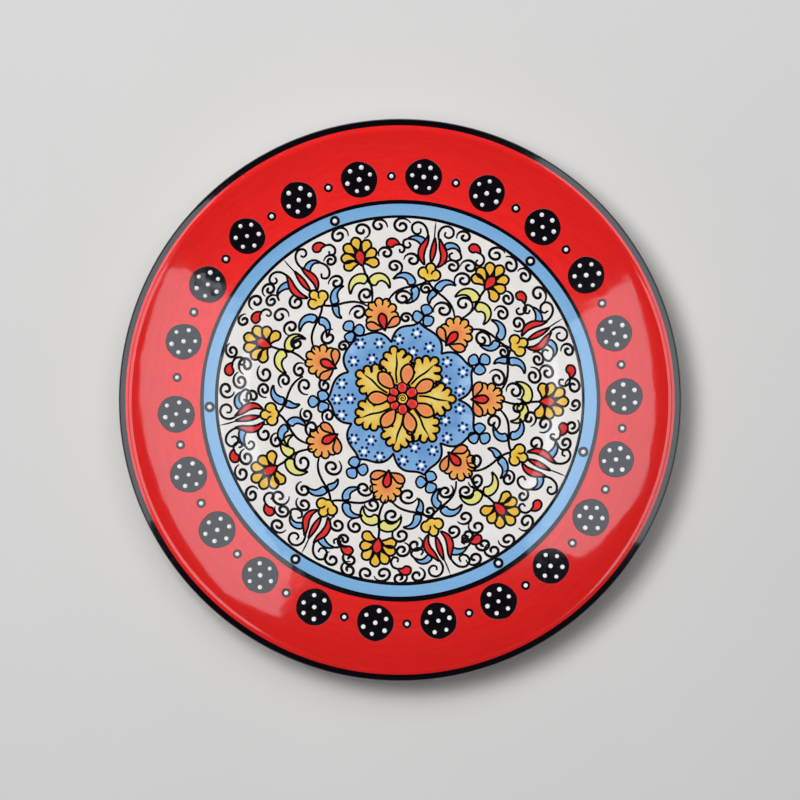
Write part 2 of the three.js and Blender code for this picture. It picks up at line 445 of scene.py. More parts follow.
@dataclass
class DishFace:
    """The glazed face of the dish: a surface of revolution with a slope that changes evenly between knots."""

    floor: float
    radius: float
    knots: Points
    step: float = 0.05
    table_radius: np.ndarray = field(init=False)
    table_height: np.ndarray = field(init=False)

    def __post_init__(self) -> None:
        """Adds up the tangent of the slope outwards from the middle, which gives the height."""
        known, slopes = np.array(self.knots).T
        self.table_radius = np.arange(0, self.radius + self.step, self.step)
        rise = np.tan(np.radians(np.interp(self.table_radius, known, slopes)))
        steps = (rise[1:] + rise[:-1]) / 2 * self.step
        self.table_height = self.floor + np.concatenate([[0], np.cumsum(steps)])

    def height(self, radius: np.ndarray | float) -> np.ndarray:
        """Height of the glaze at a radius."""
        return np.interp(radius, self.table_radius, self.table_height)

    def slope(self, radius: np.ndarray | float) -> np.ndarray:
        """Slope of the glaze at a radius, in radians, positive where it rises outwards."""
        known, slopes = np.array(self.knots).T
        return np.radians(np.interp(radius, known, slopes))

    def drape(self, flat: np.ndarray, above: np.ndarray | float) -> np.ndarray:
        """Lays flat points on the face.

        Args:
            flat: points across the plate, n by 2.
            above: how far each lies above the glaze, measured square to the face.

        Returns:
            Points in space, n by 3.
        """
        radius = np.hypot(flat[:, 0], flat[:, 1])
        lifted = self.height(radius) + above / np.cos(self.slope(radius))
        return np.column_stack([flat, lifted])

    def profile(self, start: float, end: float, spacing: float, above: float) -> np.ndarray:
        """Follows the face from one radius to another.

        Args:
            start: the first radius.
            end: the last radius.
            spacing: the most that two points may be apart in radius.
            above: how far off the face the points lie, measured square to it.

        Returns:
            Radius and height of each point.
        """
        count = max(2, int(abs(end - start) / spacing) + 1)
        radius = np.linspace(start, end, count)
        slope = self.slope(radius)
        return np.column_stack([radius - above * np.sin(slope), self.height(radius) + above * np.cos(slope)])


# Edges whose faces meet at more than these degrees stay crisp, on strokes, beads and turned shapes.
FLAT_SHARP = 8.0
BEAD_SHARP = 80.0
TURNED_SHARP = 50.0


@dataclass
class MeshPile:
    """Surfaces gathered into one piece: corner points in millimetres, faces, and a value for each corner.

    An edge whose faces meet at more than sharp degrees is left crisp, so that a line's flat top stays flat.
    """

    name: str
    corners: list[np.ndarray] = field(default_factory=list)
    pool: list[np.ndarray] = field(default_factory=list)
    faces: list[list[int]] = field(default_factory=list)
    count: int = 0
    sharp: float = 50.0

    def add(self, corners: np.ndarray, faces: Iterable[Sequence[int]], pool: np.ndarray) -> None:
        """Adds one closed surface.

        Args:
            corners: its points, n by 3.
            faces: the corner numbers of each face, counted from its own first point.
            pool: how deep the colour stands at each corner, 0 at an edge to 1 in the middle.
        """
        start = self.count
        self.corners.append(corners)
        self.pool.append(pool)
        self.faces += [[start + corner for corner in face] for face in faces]
        self.count += len(corners)

    def make(
        self, material: bpy.types.Material, slot: str | None, nodes: Sequence[str] = ()
    ) -> bpy.types.Object:
        """Turns the pile into a piece that rides on the plate.

        Args:
            material: its finish.
            slot: not used.
            nodes: CAD nodes that the piece stands for.

        Returns:
            The piece.
        """
        mesh = bpy.data.meshes.new(self.name)
        points = np.concatenate(self.corners) * MM
        mesh.from_pydata(points.tolist(), [], self.faces)
        mesh.attributes.new("pool", "FLOAT", "POINT").data.foreach_set("value", np.concatenate(self.pool))
        mesh.polygons.foreach_set("use_smooth", np.ones(len(mesh.polygons), bool))
        mesh.set_sharp_from_angle(angle=math.radians(self.sharp))
        mesh.materials.append(material)
        mesh.update()
        piece = bpy.data.objects.new(self.name, mesh)
        bpy.context.scene.collection.objects.link(piece)
        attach(piece, ROOT)
        if nodes:
            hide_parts(*nodes)
        log.info("%s: %d corners, %d faces", self.name, len(points), len(self.faces))
        return piece


def turned(profile: np.ndarray, segments: int) -> tuple[np.ndarray, list[list[int]], np.ndarray]:
    """Turns a profile round the plate's axis.

    Every point of the profile becomes a circle of radius r at height z. A profile that starts or ends
    on the axis closes there in one pole; otherwise its last circle joins its first. The profile runs
    with the solid on its right hand, seen with the radius to the right and the height up.

    Args:
        profile: radius and height of its points, n by 2.
        segments: steps round the circle.

    Returns:
        Corners, faces and pool values.
    """
    angle = round_steps(segments)
    on_axis = profile[:, 0] < 1e-9
    rings = profile[~on_axis]
    corners = np.stack(
        [
            rings[:, :1] * np.cos(angle),
            rings[:, :1] * np.sin(angle),
            np.repeat(rings[:, 1:], segments, axis=1),
        ],
        axis=-1,
    ).reshape(-1, 3)
    index = np.arange(len(rings) * segments).reshape(len(rings), segments)
    if not on_axis.any():
        index = np.vstack([index, index[:1]])
    beside = np.roll(index, -1, axis=1)
    faces = strips(index, beside)
    if on_axis[0]:
        corners = np.vstack([corners, [0, 0, profile[0, 1]]])
        pole = len(corners) - 1
        faces += np.stack([np.full(segments, pole), index[0], beside[0]], axis=-1).tolist()
    if on_axis[-1]:
        corners = np.vstack([corners, [0, 0, profile[-1, 1]]])
        pole = len(corners) - 1
        faces += np.stack([np.full(segments, pole), beside[-1], index[-1]], axis=-1).tolist()
    return corners, faces, np.ones(len(corners))


# --------------------------------------------------------------------------------------------------
# Brush strokes and pools of colour


# Steps along a smooth line before its points are spaced evenly.
FINE_STEPS = 240


def smooth(points: Points, count: int) -> np.ndarray:
    """Draws one smooth line through points, evenly spaced.

    Between two points the line is the cubic that leaves each along the direction of its neighbours,
    measured by the distance between them.

    Args:
        points: the points that it goes through.
        count: how many points it gives.

    Returns:
        Points along the line, count by 2.
    """
    knots = np.array(points, float)
    gaps = np.hypot(*np.diff(knots, axis=0).T)
    along = np.concatenate([[0], np.cumsum(gaps)])
    pull = np.gradient(knots, along, axis=0)
    fine = np.linspace(0, along[-1], FINE_STEPS)
    part = np.clip(np.searchsorted(along, fine, side="right") - 1, 0, len(gaps) - 1)
    gap = gaps[part][:, None]
    t = (fine - along[part])[:, None] / gap
    line = (
        (2 * t**3 - 3 * t**2 + 1) * knots[part]
        + (t**3 - 2 * t**2 + t) * gap * pull[part]
        + (3 * t**2 - 2 * t**3) * knots[part + 1]
        + (t**3 - t**2) * gap * pull[part + 1]
    )
    length = np.concatenate([[0], np.cumsum(np.hypot(*np.diff(line, axis=0).T))])
    even = np.linspace(0, length[-1], count)
    return np.column_stack([np.interp(even, length, line[:, 0]), np.interp(even, length, line[:, 1])])


def left_of(path: np.ndarray, closed: bool) -> np.ndarray:
    """Finds the unit direction to the left of a path at each of its points.

    Args:
        path: its points, n by 2.
        closed: True where it ends where it starts.

    Returns:
        The directions, n by 2.
    """
    if closed:
        along = np.roll(path, -1, axis=0) - np.roll(path, 1, axis=0)
    else:
        along = np.gradient(path, axis=0)
    along /= np.maximum(np.hypot(along[:, 0], along[:, 1])[:, None], 1e-9)
    return np.column_stack([-along[:, 1], along[:, 0]])


# Where a line and a pool of colour have corners across, from one edge at -1 to the other at 1.
LINE_SECTION = np.array([-1.0, -0.86, 0.86, 1.0])
POOL_SECTION = np.array([-1.0, -0.92, -0.5, 0.0, 0.5, 0.92, 1.0])


# How far round from its foot to its top the rings of a bead stand, in degrees.
BEAD_TILTS = (0.0, 35.0, 65.0)
# The rings of a pool inside its edge, as shares of its outline.
POOL_RINGS = (0.6, 0.25)


@dataclass(frozen=True)
class Brush:
    """Lays colour on the face of the dish."""

    face: DishFace
    sink: float = 0.02
    shoulder: float = 0.12
    edge: float = 0.2

    def ribbon(
        self,
        pile: MeshPile,
        path: np.ndarray,
        half_width: np.ndarray,
        lift: float,
        closed: bool = False,
        section: np.ndarray = LINE_SECTION,
    ) -> None:
        """Lays a stroke whose section is a low arch, s from -1 to 1 across.

        A line is flat on top; a pool falls off towards its sides by the shoulder times s squared.
        The two edges of both are sunk.

        Args:
            pile: the piece that it joins.
            path: the middle of the stroke, n by 2, in plate coordinates.
            half_width: half of its width at each point.
            lift: how high its middle stands above the glaze.
            closed: True for a stroke that ends where it starts.
            section: the places across at which it has corners.
        """
        across = left_of(path, closed)[:, None, :] * (section[None, :] * half_width[:, None])[..., None]
        flat = (path[:, None, :] + across).reshape(-1, 2)
        fall = self.shoulder if len(section) > len(LINE_SECTION) else 0.0
        arch = lift * (1 - fall * section**2)
        arch[[0, -1]] = -self.sink
        arch = np.tile(arch, len(path))
        corners = self.face.drape(flat, arch)
        index = np.arange(len(path) * len(section)).reshape(len(path), len(section))
        rows = np.vstack([index, index[:1]]) if closed else index
        faces = strips(rows, np.roll(rows, -1, axis=1))
        if not closed:
            faces.append(index[0].tolist())
            faces.append(index[-1][::-1].tolist())
        run = np.linspace(0, 1, len(path))[:, None]
        ends = np.ones_like(run) if closed else np.clip(4 * np.minimum(run, 1 - run), 0, 1)
        pool = (ends * (1 - section**2)[None, :]).ravel()
        pile.add(corners, faces, pool)

    def puddle(self, pile: MeshPile, middle: np.ndarray, outline: np.ndarray, lift: float) -> None:
        """Fills an outline that can all be seen from its middle, with a low dome of colour.

        The rings are the outline drawn in towards the middle. The outermost is sunk, the next stands
        a fixed step inside it, and the height grows a little more towards the middle.

        Args:
            pile: the piece that it joins.
            middle: the middle point.
            outline: the closed outline, counter-clockwise, n by 2.
            lift: how high the middle stands above the glaze.
        """
        count = len(outline)
        span = np.hypot(*(outline - middle).T).mean()
        sizes = np.array([1.0, 1 - self.edge / span, *POOL_RINGS])
        flat = (middle + sizes[:, None, None] * (outline - middle)[None]).reshape(-1, 2)
        dome = lift * (1 - self.shoulder * sizes**2)
        dome[0] = -self.sink
        corners = self.face.drape(flat, np.repeat(dome, count))
        tip = self.face.drape(np.array([middle]), np.array([lift]))
        under = self.face.drape(np.array([middle]), np.array([-self.sink]))
        corners = np.vstack([corners, tip, under])
        ring = np.arange(count)
        base = np.stack([np.roll(ring, -1), ring, np.full(count, len(corners) - 1)], axis=-1)
        pool = np.concatenate([np.repeat(1 - sizes, count), [1.0, 0.0]])
        pile.add(corners, [*dome_faces(len(sizes), count), *base.tolist()], pool)

    def bead(
        self, pile: MeshPile, middle: np.ndarray, radius: float, height: float, segments: int = 12
    ) -> None:
        """Sets a raised bead of enamel: a round dome whose side is a quarter of an ellipse.

        Args:
            pile: the piece that it joins.
            middle: where it stands.
            radius: its radius.
            height: how far it stands out of the face.
            segments: steps round it.
        """
        tilt = np.radians(BEAD_TILTS)
        rings = radius * np.cos(tilt)[:, None, None] * ways(round_steps(segments))[None]
        flat = (middle + rings).reshape(-1, 2)
        raised = np.repeat(height * np.sin(tilt), segments)
        raised[:segments] = -self.sink
        tip = self.face.drape(np.array([middle]), np.array([height]))
        corners = np.vstack([self.face.drape(flat, raised), tip])
        base = np.arange(segments)[::-1].tolist()
        pile.add(corners, [*dome_faces(len(tilt), segments), base], np.ones(len(corners)))


class Layer(Enum):
    """How high a colour stands above the glaze, in millimetres: what is painted later lies higher."""

    GROUND = 0.010
    FILL = 0.018
    FILL_LINE = 0.030
    OVER = 0.040
    OVER_LINE = 0.052
    TOP = 0.062
    TOP_LINE = 0.074
    DOT = 0.10


def line_width(count: int, width: float, start: float, end: float, run_in: float = 0.15) -> np.ndarray:
    """Half widths of a stroke that swells from its start and thins to its end.

    Args:
        count: points along it.
        width: its full width.
        start: the share of the width that it starts with.
        end: the share that it ends with.
        run_in: the part of the stroke over which each end changes.

    Returns:
        The half width at each point.
    """
    t = np.linspace(0, 1, count)
    rise = start + (1 - start) * np.clip(t / run_in, 0, 1) ** 0.6
    fall = end + (1 - end) * np.clip((1 - t) / (2 * run_in), 0, 1) ** 0.8
    return width / 2 * rise * fall


def belly_wave(count: int, belly: float) -> np.ndarray:
    """The sine of pi times t to a power that puts its peak at the belly, at even steps of t from 0 to 1."""
    power = math.log(0.5) / math.log(belly)
    return np.sin(np.pi * np.minimum(np.linspace(0, 1, count) ** power, 1))


def teardrop(count: int, width: float, belly: float) -> np.ndarray:
    """Half widths of a drop: pointed at its start, widest at belly, round at its end."""
    return width / 2 * np.maximum(belly_wave(count, belly), 0.0) ** 0.62


def leaf(count: int, width: float, belly: float) -> np.ndarray:
    """Half widths of a leaf pointed at both ends and widest at belly."""
    return width / 2 * belly_wave(count, belly)


def horn(count: int, width: float) -> np.ndarray:
    """Half widths of a leaf that is wide where it grows from its stem and thins to a point."""
    t = np.linspace(0, 1, count)
    return width / 2 * np.clip(0.8 + 1.6 * t, 0, 1) * np.maximum(1 - t**1.7, 0) ** 0.95


def dabs(
    circles: Sequence[tuple[float, float, float]], middle: tuple[float, float], count: int
) -> np.ndarray:
    """The outline of round dabs of colour that run together, as seen from a middle inside them.

    Along each direction e from the middle, a circle at c with radius p is left at
    c.e + sqrt(p squared - (c x e) squared); the outline takes the furthest of these.

    Args:
        circles: v, u and radius of each dab.
        middle: v and u of the middle.
        count: points of the outline.

    Returns:
        The outline, counter-clockwise, count by 2.
    """
    around = ways(round_steps(count))
    known = np.array(circles)
    centres = known[:, :2] - np.array(middle)
    along = around @ centres.T
    aside = around[:, :1] * centres[:, 1] - around[:, 1:] * centres[:, 0]
    inside = known[:, 2] ** 2 - aside**2
    far = np.where(inside > 0, along + np.sqrt(np.maximum(inside, 0)), 0).max(axis=1)
    return np.array(middle) + around * far[:, None]


@dataclass(frozen=True)
class Seat:
    """A place on the plate where a motif is painted: u runs out along its azimuth, v clockwise from it."""

    azimuth: float
    middle: tuple[float, float] = (0.0, 0.0)

    def put(self, points: np.ndarray | Points) -> np.ndarray:
        """Turns v, u points into points across the plate.

        With a the azimuth, x is u cos a plus v sin a and y is u sin a minus v cos a.

        Args:
            points: v and u of each point.

        Returns:
            x and y of each, n by 2.
        """
        v, u = np.array(points, float).T
        a = math.radians(self.azimuth)
        across = u * math.cos(a) + v * math.sin(a)
        up = u * math.sin(a) - v * math.cos(a)
        return np.column_stack([across + self.middle[0], up + self.middle[1]])

    def handed(self, path: np.ndarray) -> np.ndarray:
        """Puts an outline on the plate and makes it counter-clockwise.

        Args:
            path: v and u of its points.

        Returns:
            x and y of its points.
        """
        placed = self.put(path)
        x, y = placed.T
        area = np.sum(x * np.roll(y, -1) - np.roll(x, -1) * y)
        return placed if area > 0 else placed[::-1]


# Half the width of a pool at its pointed tip, in millimetres.
THINNEST = 0.02


@dataclass
class Palette:
    """The finishes of the painted colours, and one pile of strokes for each painted part."""

    brush: Brush
    materials: dict[str, bpy.types.Material]
    line: float = 1.45
    line_step: float = 0.55
    steps_per_mm: float = 1.2
    piles: dict[str, MeshPile] = field(default_factory=dict)

    def pile(self, name: str) -> MeshPile:
        """The pile of a painted part, started when first asked for."""
        raised = name.endswith("beads") or name == "medallion_dots"
        return self.piles.setdefault(name, MeshPile(name, sharp=BEAD_SHARP if raised else FLAT_SHARP))

    def stroke(
        self,
        name: str,
        seat: Seat,
        points: Points,
        layer: Layer = Layer.FILL_LINE,
        width: float = 1.0,
        start: float = 0.8,
        end: float = 0.8,
    ) -> None:
        """Paints an open line.

        Args:
            name: the painted part that it joins.
            seat: where the motif is.
            points: the points that it goes through, v and u.
            layer: how high it lies.
            width: its width, in usual lines.
            start: the share of its width that it starts with.
            end: the share that it ends with.
        """
        rough = np.hypot(*np.diff(np.array(points, float), axis=0).T).sum()
        count = max(8, int(rough * self.steps_per_mm))
        path = seat.put(smooth(points, count))
        widths = line_width(count, self.line * width, start, end)
        self.brush.ribbon(self.pile(name), path, widths, layer.value)

    def outline(self, name: str, path: np.ndarray, layer: Layer, width: float = 1.0) -> None:
        """Paints a closed line.

        Args:
            name: the painted part that it joins.
            path: the outline that it follows.
            layer: how high it lies.
            width: its width, in usual lines.
        """
        even = evened(path, self.line_step)
        half = np.full(len(even), self.line * width / 2)
        self.brush.ribbon(self.pile(name), even, half, layer.value, closed=True)

    def blade(
        self,
        fill: str,
        line: str,
        seat: Seat,
        points: Points,
        half_width: np.ndarray,
        layers: tuple[Layer, Layer],
        width: float = 1.0,
    ) -> None:
        """Paints a petal or leaf: a pool along a midrib with a line round it.

        Args:
            fill: the painted part that the pool joins.
            line: the painted part that the line joins.
            seat: where the motif is.
            points: the midrib's points, v and u.
            half_width: half of the pool's width at even steps along the midrib.
            layers: the pool's layer and the line's.
            width: the line's width, in usual lines.
        """
        path = seat.put(smooth(points, len(half_width)))
        half = np.maximum(half_width, THINNEST)
        side = left_of(path, closed=False) * half[:, None]
        self.brush.ribbon(self.pile(fill), path, half, layers[0].value, section=POOL_SECTION)
        edge = np.vstack([path - side, (path + side)[::-1]])
        self.outline(line, relaxed(edge), layers[1], width)

    def blob(
        self,
        fill: str,
        line: str,
        seat: Seat,
        circles: Sequence[tuple[float, float, float]],
        middle: tuple[float, float],
        layers: tuple[Layer, Layer],
        count: int,
        width: float = 1.0,
    ) -> None:
        """Paints round dabs that run together, with a line round them.

        Args:
            fill: the painted part that the pool joins.
            line: the painted part that the line joins.
            seat: where the motif is.
            circles: v, u and radius of each dab.
            middle: v and u of a middle inside them.
            layers: the pool's layer and the line's.
            count: points of the outline.
            width: the line's width, in usual lines.
        """
        edge = seat.handed(dabs(circles, middle, count))
        heart = seat.put([middle])[0]
        self.brush.puddle(self.pile(fill), heart, edge, layers[0].value)
        self.outline(line, edge, layers[1], width)


def evened(path: np.ndarray, step: float) -> np.ndarray:
    """Spaces the points of a closed line evenly by the length along it.

    Args:
        path: its points.
        step: how far apart they are to be.

    Returns:
        The new points.
    """
    ring = np.vstack([path, path[:1]])
    length = np.concatenate([[0], np.cumsum(np.hypot(*np.diff(ring, axis=0).T))])
    even = np.linspace(0, length[-1], max(12, int(length[-1] / step)), endpoint=False)
    return np.column_stack([np.interp(even, length, ring[:, 0]), np.interp(even, length, ring[:, 1])])


def relaxed(path: np.ndarray) -> np.ndarray:
    """Rounds the corners of a closed line by averaging each point with its neighbours."""
    return (np.roll(path, 1, axis=0) + 2 * path + np.roll(path, -1, axis=0)) / 4


# --------------------------------------------------------------------------------------------------
# Parts of the plate


@dataclass
class Sizes:
    """The plate's measures in millimetres: the bands' edges as the frame gives them, then the clay's own."""

    plate: float = field(default_factory=lambda: reach("lip_band"))
    rim: float = field(default_factory=lambda: reach("rim_enamel"))
    outer_line: float = field(default_factory=lambda: reach("outer_contour"))
    band: float = field(default_factory=lambda: reach("blue_band"))
    inner_line: float = field(default_factory=lambda: reach("inner_contour"))
    ground: float = field(default_factory=lambda: reach("white_ground"))
    floor: float = field(default_factory=lambda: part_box("medallion")[0].z / MM)
    foot_outside: float = 92.9
    foot_inside: float = 83.9
    foot_taper: float = 1.5
    clay: float = 4.6
    glaze: float = 0.5


# The colours' heights in pairs: a pool and the line round it.
FILL = (Layer.FILL, Layer.FILL_LINE)
OVER = (Layer.OVER, Layer.OVER_LINE)
TOP = (Layer.TOP, Layer.TOP_LINE)


@dataclass
class Dish:
    """The thrown clay dish with its foot ring, and the clear glaze on its back."""

    sizes: Sizes
    face: DishFace
    segments: int = 288
    hole_radius: float = 1.5
    hole_height: float = 3.6
    hole_angle: float = 18.0
    bar_sides: int = 24
    bar_spare: float = 4.0
    edge_steps: int = 12

    def under(self, radius: np.ndarray) -> np.ndarray:
        """Finds the underside below points of the face, one clay thickness down.

        Args:
            radius: the radii of the points.

        Returns:
            Radius and height of each, n by 2.
        """
        slope = self.face.slope(radius)
        depth = self.sizes.clay + self.sizes.glaze
        height = self.face.height(radius) - depth * np.cos(slope)
        return np.column_stack([radius + depth * np.sin(slope), height])

    def floor_below(self) -> float:
        """The height of the underside in the middle of the plate."""
        return float(self.under(np.array([0.0]))[0, 1])

    def lip(self) -> np.ndarray:
        """Rounds the edge from the face over to the back, along half an ellipse.

        Returns:
            Radius and height of its points.
        """
        top = float(self.face.height(self.crest))
        middle = (top + (top - self.sizes.clay - self.sizes.glaze)) / 2
        turn = np.linspace(0, np.pi, self.edge_steps)
        swell = self.sizes.plate - self.crest
        return np.column_stack([self.crest + swell * np.sin(turn), middle + (top - middle) * np.cos(turn)])

    @property
    def crest(self) -> float:
        """The radius where the face ends and the rounded edge starts."""
        return self.sizes.plate - 1.0

    def back_profile(self) -> np.ndarray:
        """Follows the underside from the edge in to the foot ring.

        Returns:
            Radius and height of its points.
        """
        radius = np.linspace(self.crest - 2.6, self.sizes.foot_outside - 0.4, 60)
        below = self.under(radius)
        return below[below[:, 0] < self.crest - 0.1]

    def clay(self, finish: bpy.types.Material) -> bpy.types.Object:
        """Turns the clay: face, edge, underside and foot ring, with its two hanging holes cut through.

        Args:
            finish: the bare clay.

        Returns:
            The piece.
        """
        sizes = self.sizes
        face = self.face.profile(0, self.crest, 1.2, -sizes.glaze)
        edge = self.lip()
        edge[:, 0] = self.crest + (edge[:, 0] - self.crest) * 0.7
        floor = self.floor_below()
        back = self.back_profile()
        outside, inside, taper = sizes.foot_outside, sizes.foot_inside, sizes.foot_taper
        foot = [
            [outside, float(np.interp(outside, *back[::-1].T))],
            [outside - taper + 0.2, 0.7],
            [outside - taper - 0.5, 0.0],
            [inside + taper + 0.5, 0.0],
            [inside + taper - 0.2, 0.7],
            [inside, floor],
        ]
        recess = [[60.0, floor], [30.0, floor], [0.0, floor]]
        back = back[back[:, 0] > outside + 0.2]
        pile = MeshPile("plate_clay", sharp=TURNED_SHARP)
        pile.add(*turned(np.vstack([face, edge[2:-2], back, foot, recess]), self.segments))
        piece = pile.make(finish, "clay", ["plate_body"])
        self.drill(piece)
        return piece

    def drill(self, piece: bpy.types.Object) -> None:
        """Cuts the two hanging holes through the foot ring with round bars laid along the radius.

        Args:
            piece: the clay.
        """
        ring = np.arange(self.bar_sides)
        beside = np.roll(ring, -1)
        sides = np.stack([ring, beside, beside + self.bar_sides, ring + self.bar_sides], axis=-1).tolist()
        ends = [ring[::-1].tolist(), (ring + self.bar_sides).tolist()]
        turn = round_steps(self.bar_sides)
        for side in (-1, 1):
            angle = math.radians(90 + side * self.hole_angle)
            way = np.array([math.cos(angle), math.sin(angle), 0.0])
            aside = np.array([-way[1], way[0], 0.0])
            section = self.hole_radius * (np.cos(turn)[:, None] * aside + np.sin(turn)[:, None] * [0, 0, 1])
            reaches = (self.sizes.foot_inside - self.bar_spare, self.sizes.foot_outside + self.bar_spare)
            corners = np.vstack([section + way * out + [0, 0, self.hole_height] for out in reaches]) * MM
            mesh = bpy.data.meshes.new("bar")
            mesh.from_pydata(corners.tolist(), [], [*sides, *ends])
            bar = bpy.data.objects.new("bar", mesh)
            bpy.context.scene.collection.objects.link(bar)
            cut = piece.modifiers.new("hole", "BOOLEAN")
            cut.operation = "DIFFERENCE"
            cut.solver = "EXACT"
            cut.object = bar
            depsgraph = bpy.context.evaluated_depsgraph_get()
            made = bpy.data.meshes.new_from_object(piece.evaluated_get(depsgraph))
            piece.modifiers.clear()
            piece.data = made
            bpy.data.objects.remove(bar)

    def layer(self, name: str, profile: np.ndarray, depth: float, segments: int) -> MeshPile:
        """Turns a thin coat: the profile, and the same line again sunk below it, joined at both ends.

        Args:
            name: the piece's name.
            profile: radius and height of its upper side.
            depth: how thick it is.
            segments: steps round the plate.

        Returns:
            The coat, not yet made.
        """
        along = np.gradient(profile, axis=0)
        along /= np.hypot(along[:, 0], along[:, 1])[:, None]
        below = profile + depth * np.column_stack([along[:, 1], -along[:, 0]])
        below[:, 0] = np.maximum(below[:, 0], 0)
        pile = MeshPile(name, sharp=TURNED_SHARP)
        pile.add(*turned(np.vstack([profile, below[::-1]]), segments))
        return pile

    def back_coat(self, finish: bpy.types.Material) -> None:
        """Lays the glaze on the back, from the black lip in to the foot ring.

        Args:
            finish: the clear glaze.
        """
        profile = self.back_profile()
        profile[:, 1] -= 0.3
        self.layer("back_glaze_coat", profile, 0.5, self.segments).make(finish, "clear_glaze", ["back_glaze"])

    def recess_coat(self, finish: bpy.types.Material) -> None:
        """Lays the glaze inside the foot ring: a disc that just covers the clay.

        Args:
            finish: the clear glaze.
        """
        floor = self.floor_below() - 0.3
        edge = self.sizes.foot_inside - 0.8
        radius = np.append(np.linspace(edge, 20, 12), 0)
        profile = np.column_stack([radius, np.full(len(radius), floor)])
        upper = profile[::-1] + [0, 0.6]
        pile = MeshPile("recess_glaze_coat", sharp=TURNED_SHARP)
        pile.add(*turned(np.vstack([upper, profile]), self.segments))
        pile.make(finish, "clear_glaze", ["recess_glaze"])


# How high the two black rings stand above the glaze, in millimetres.
CONTOUR_LIFT = 0.05


@dataclass
class Bands:
    """The coats that run round the plate: white ground, blue band, red rim and black lip, and two lines."""

    sizes: Sizes
    dish: Dish
    brush: Brush
    rng: np.random.Generator
    segments: int = 360
    contour_steps: int = 420
    spacing: float = 1.2

    def coat(
        self, name: str, start: float, end: float, finish: bpy.types.Material, slot: str, node: str
    ) -> None:
        """Lays one coat of the face between two radii.

        Args:
            name: the piece's name.
            start: its inner radius, 0 for a disc.
            end: its outer radius.
            finish: its finish.
            slot: the record's material slot.
            node: the CAD node that it stands for.
        """
        profile = self.dish.face.profile(start, end, self.spacing, 0.0)
        if start == 0:
            profile[0, 0] = 0
            below = self.dish.face.profile(end, start, self.spacing, -self.sizes.glaze)
            below[-1, 0] = 0
            pile = MeshPile(name, sharp=TURNED_SHARP)
            pile.add(*turned(np.vstack([profile, below]), self.segments))
        else:
            pile = self.dish.layer(name, profile, self.sizes.glaze, self.segments)
        pile.make(finish, slot, [node])

    def contour(
        self, node: str, radius: float, width: float, low_side: float, finish: bpy.types.Material
    ) -> None:
        """Draws a black line by hand round the plate: its radius and width wander with a few slow waves.

        Args:
            node: the CAD node that it stands for, and the start of its own name.
            radius: its usual radius.
            width: its usual width.
            low_side: how much wider it is at the bottom of the plate, where its outer edge spreads.
            finish: its finish.
        """
        turn = round_steps(self.contour_steps)
        wander = wavy(turn, self.rng, (2, 3, 5, 8, 13), 0.12)
        bottom = np.clip(-np.sin(turn), 0, 1) ** 2 * low_side
        half = width / 2 * (1 + wavy(turn, self.rng, (3, 7, 12, 19), 0.10)) + bottom / 2
        middle = radius + wander + bottom / 2
        path = middle[:, None] * ways(turn)
        pile = MeshPile(f"{node}_line", sharp=FLAT_SHARP)
        self.brush.ribbon(pile, path, half, CONTOUR_LIFT, closed=True, section=POOL_SECTION)
        pile.make(finish, "black_enamel", [node])

    def lip(self, finish: bpy.types.Material) -> None:
        """Lays the black lip, from the red rim over the rounded edge to the back.

        Args:
            finish: the black.
        """
        face = self.dish.face.profile(self.sizes.rim, self.dish.crest, 0.5, 0.02)
        profile = np.vstack([face, self.dish.lip()[1:]])
        coat = self.dish.layer("lip_black", profile, self.sizes.glaze, self.segments)
        coat.make(finish, "black_enamel", ["lip_band"])


def wavy(turn: np.ndarray, rng: np.random.Generator, counts: Sequence[int], size: float) -> np.ndarray:
    """Wanders round a circle as a hand does: sines with whole numbers of waves and random phases.

    Args:
        turn: the angles round the circle.
        rng: the source of the phases.
        counts: how many waves each sine has; a sine is smaller by the root of its count.
        size: the size of a sine of one wave.

    Returns:
        The wander at each angle.
    """
    phases = rng.uniform(0, 2 * np.pi, len(counts))
    waves = [np.sin(number * turn + phase) / math.sqrt(number) for number, phase in zip(counts, phases)]
    return size * np.sum(waves, axis=0)


@dataclass(frozen=True)
class Scroll:
    """A painted curl: where its middle is, how wide it is, how far it turns and which way."""

    v: float
    u: float
    radius: float
    opens: float
    hand: int
    turns: float


@dataclass(frozen=True)
class TulipKind:
    """One way to draw a tulip: petals with their widths, curls at their tips, a thread, and leaf tails."""

    petals: Sequence[tuple[Points, float]]
    curls: Sequence[Points]
    thread: Points
    tails: Sequence[Points]


# The two ways in which tulips are drawn, as v and u from their seats.
CLOSED_TULIP = TulipKind(
    petals=(
        (((-3, 73.2), (-6.0, 78), (-6.1, 82), (-4.8, 86), (-4.4, 89.5)), 3.4),
        (((0.1, 75), (-0.1, 79), (-0.3, 84), (-0.8, 89)), 2.7),
        (((3.5, 73.2), (5.9, 77), (6.0, 80.5), (3.6, 85), (1.6, 89)), 3.4),
    ),
    curls=(
        ((-4.5, 88.3), (-5.5, 91.3), (-8, 94.2), (-11.5, 94.9), (-14, 92.7), (-13.4, 89.8), (-10.9, 88.5),
         (-9, 89.8), (-9.4, 92)),
        ((1.4, 88), (0.6, 92), (2, 95), (5, 96.2), (8, 94.6), (8.3, 91.8), (6, 90.1), (4, 91), (4.2, 93)),
    ),
    thread=((-0.8, 87.5), (-1.6, 92), (-2.2, 97.2)),
    tails=(
        ((-14.5, 85.3), (-16.8, 83.5), (-16.1, 80.9), (-13.8, 80.3), (-12.6, 82), (-14, 83.4)),
        ((14, 84), (15.3, 81.2), (12.5, 79), (9.5, 79.6), (8.8, 81.7), (10.4, 83)),
    ),
)
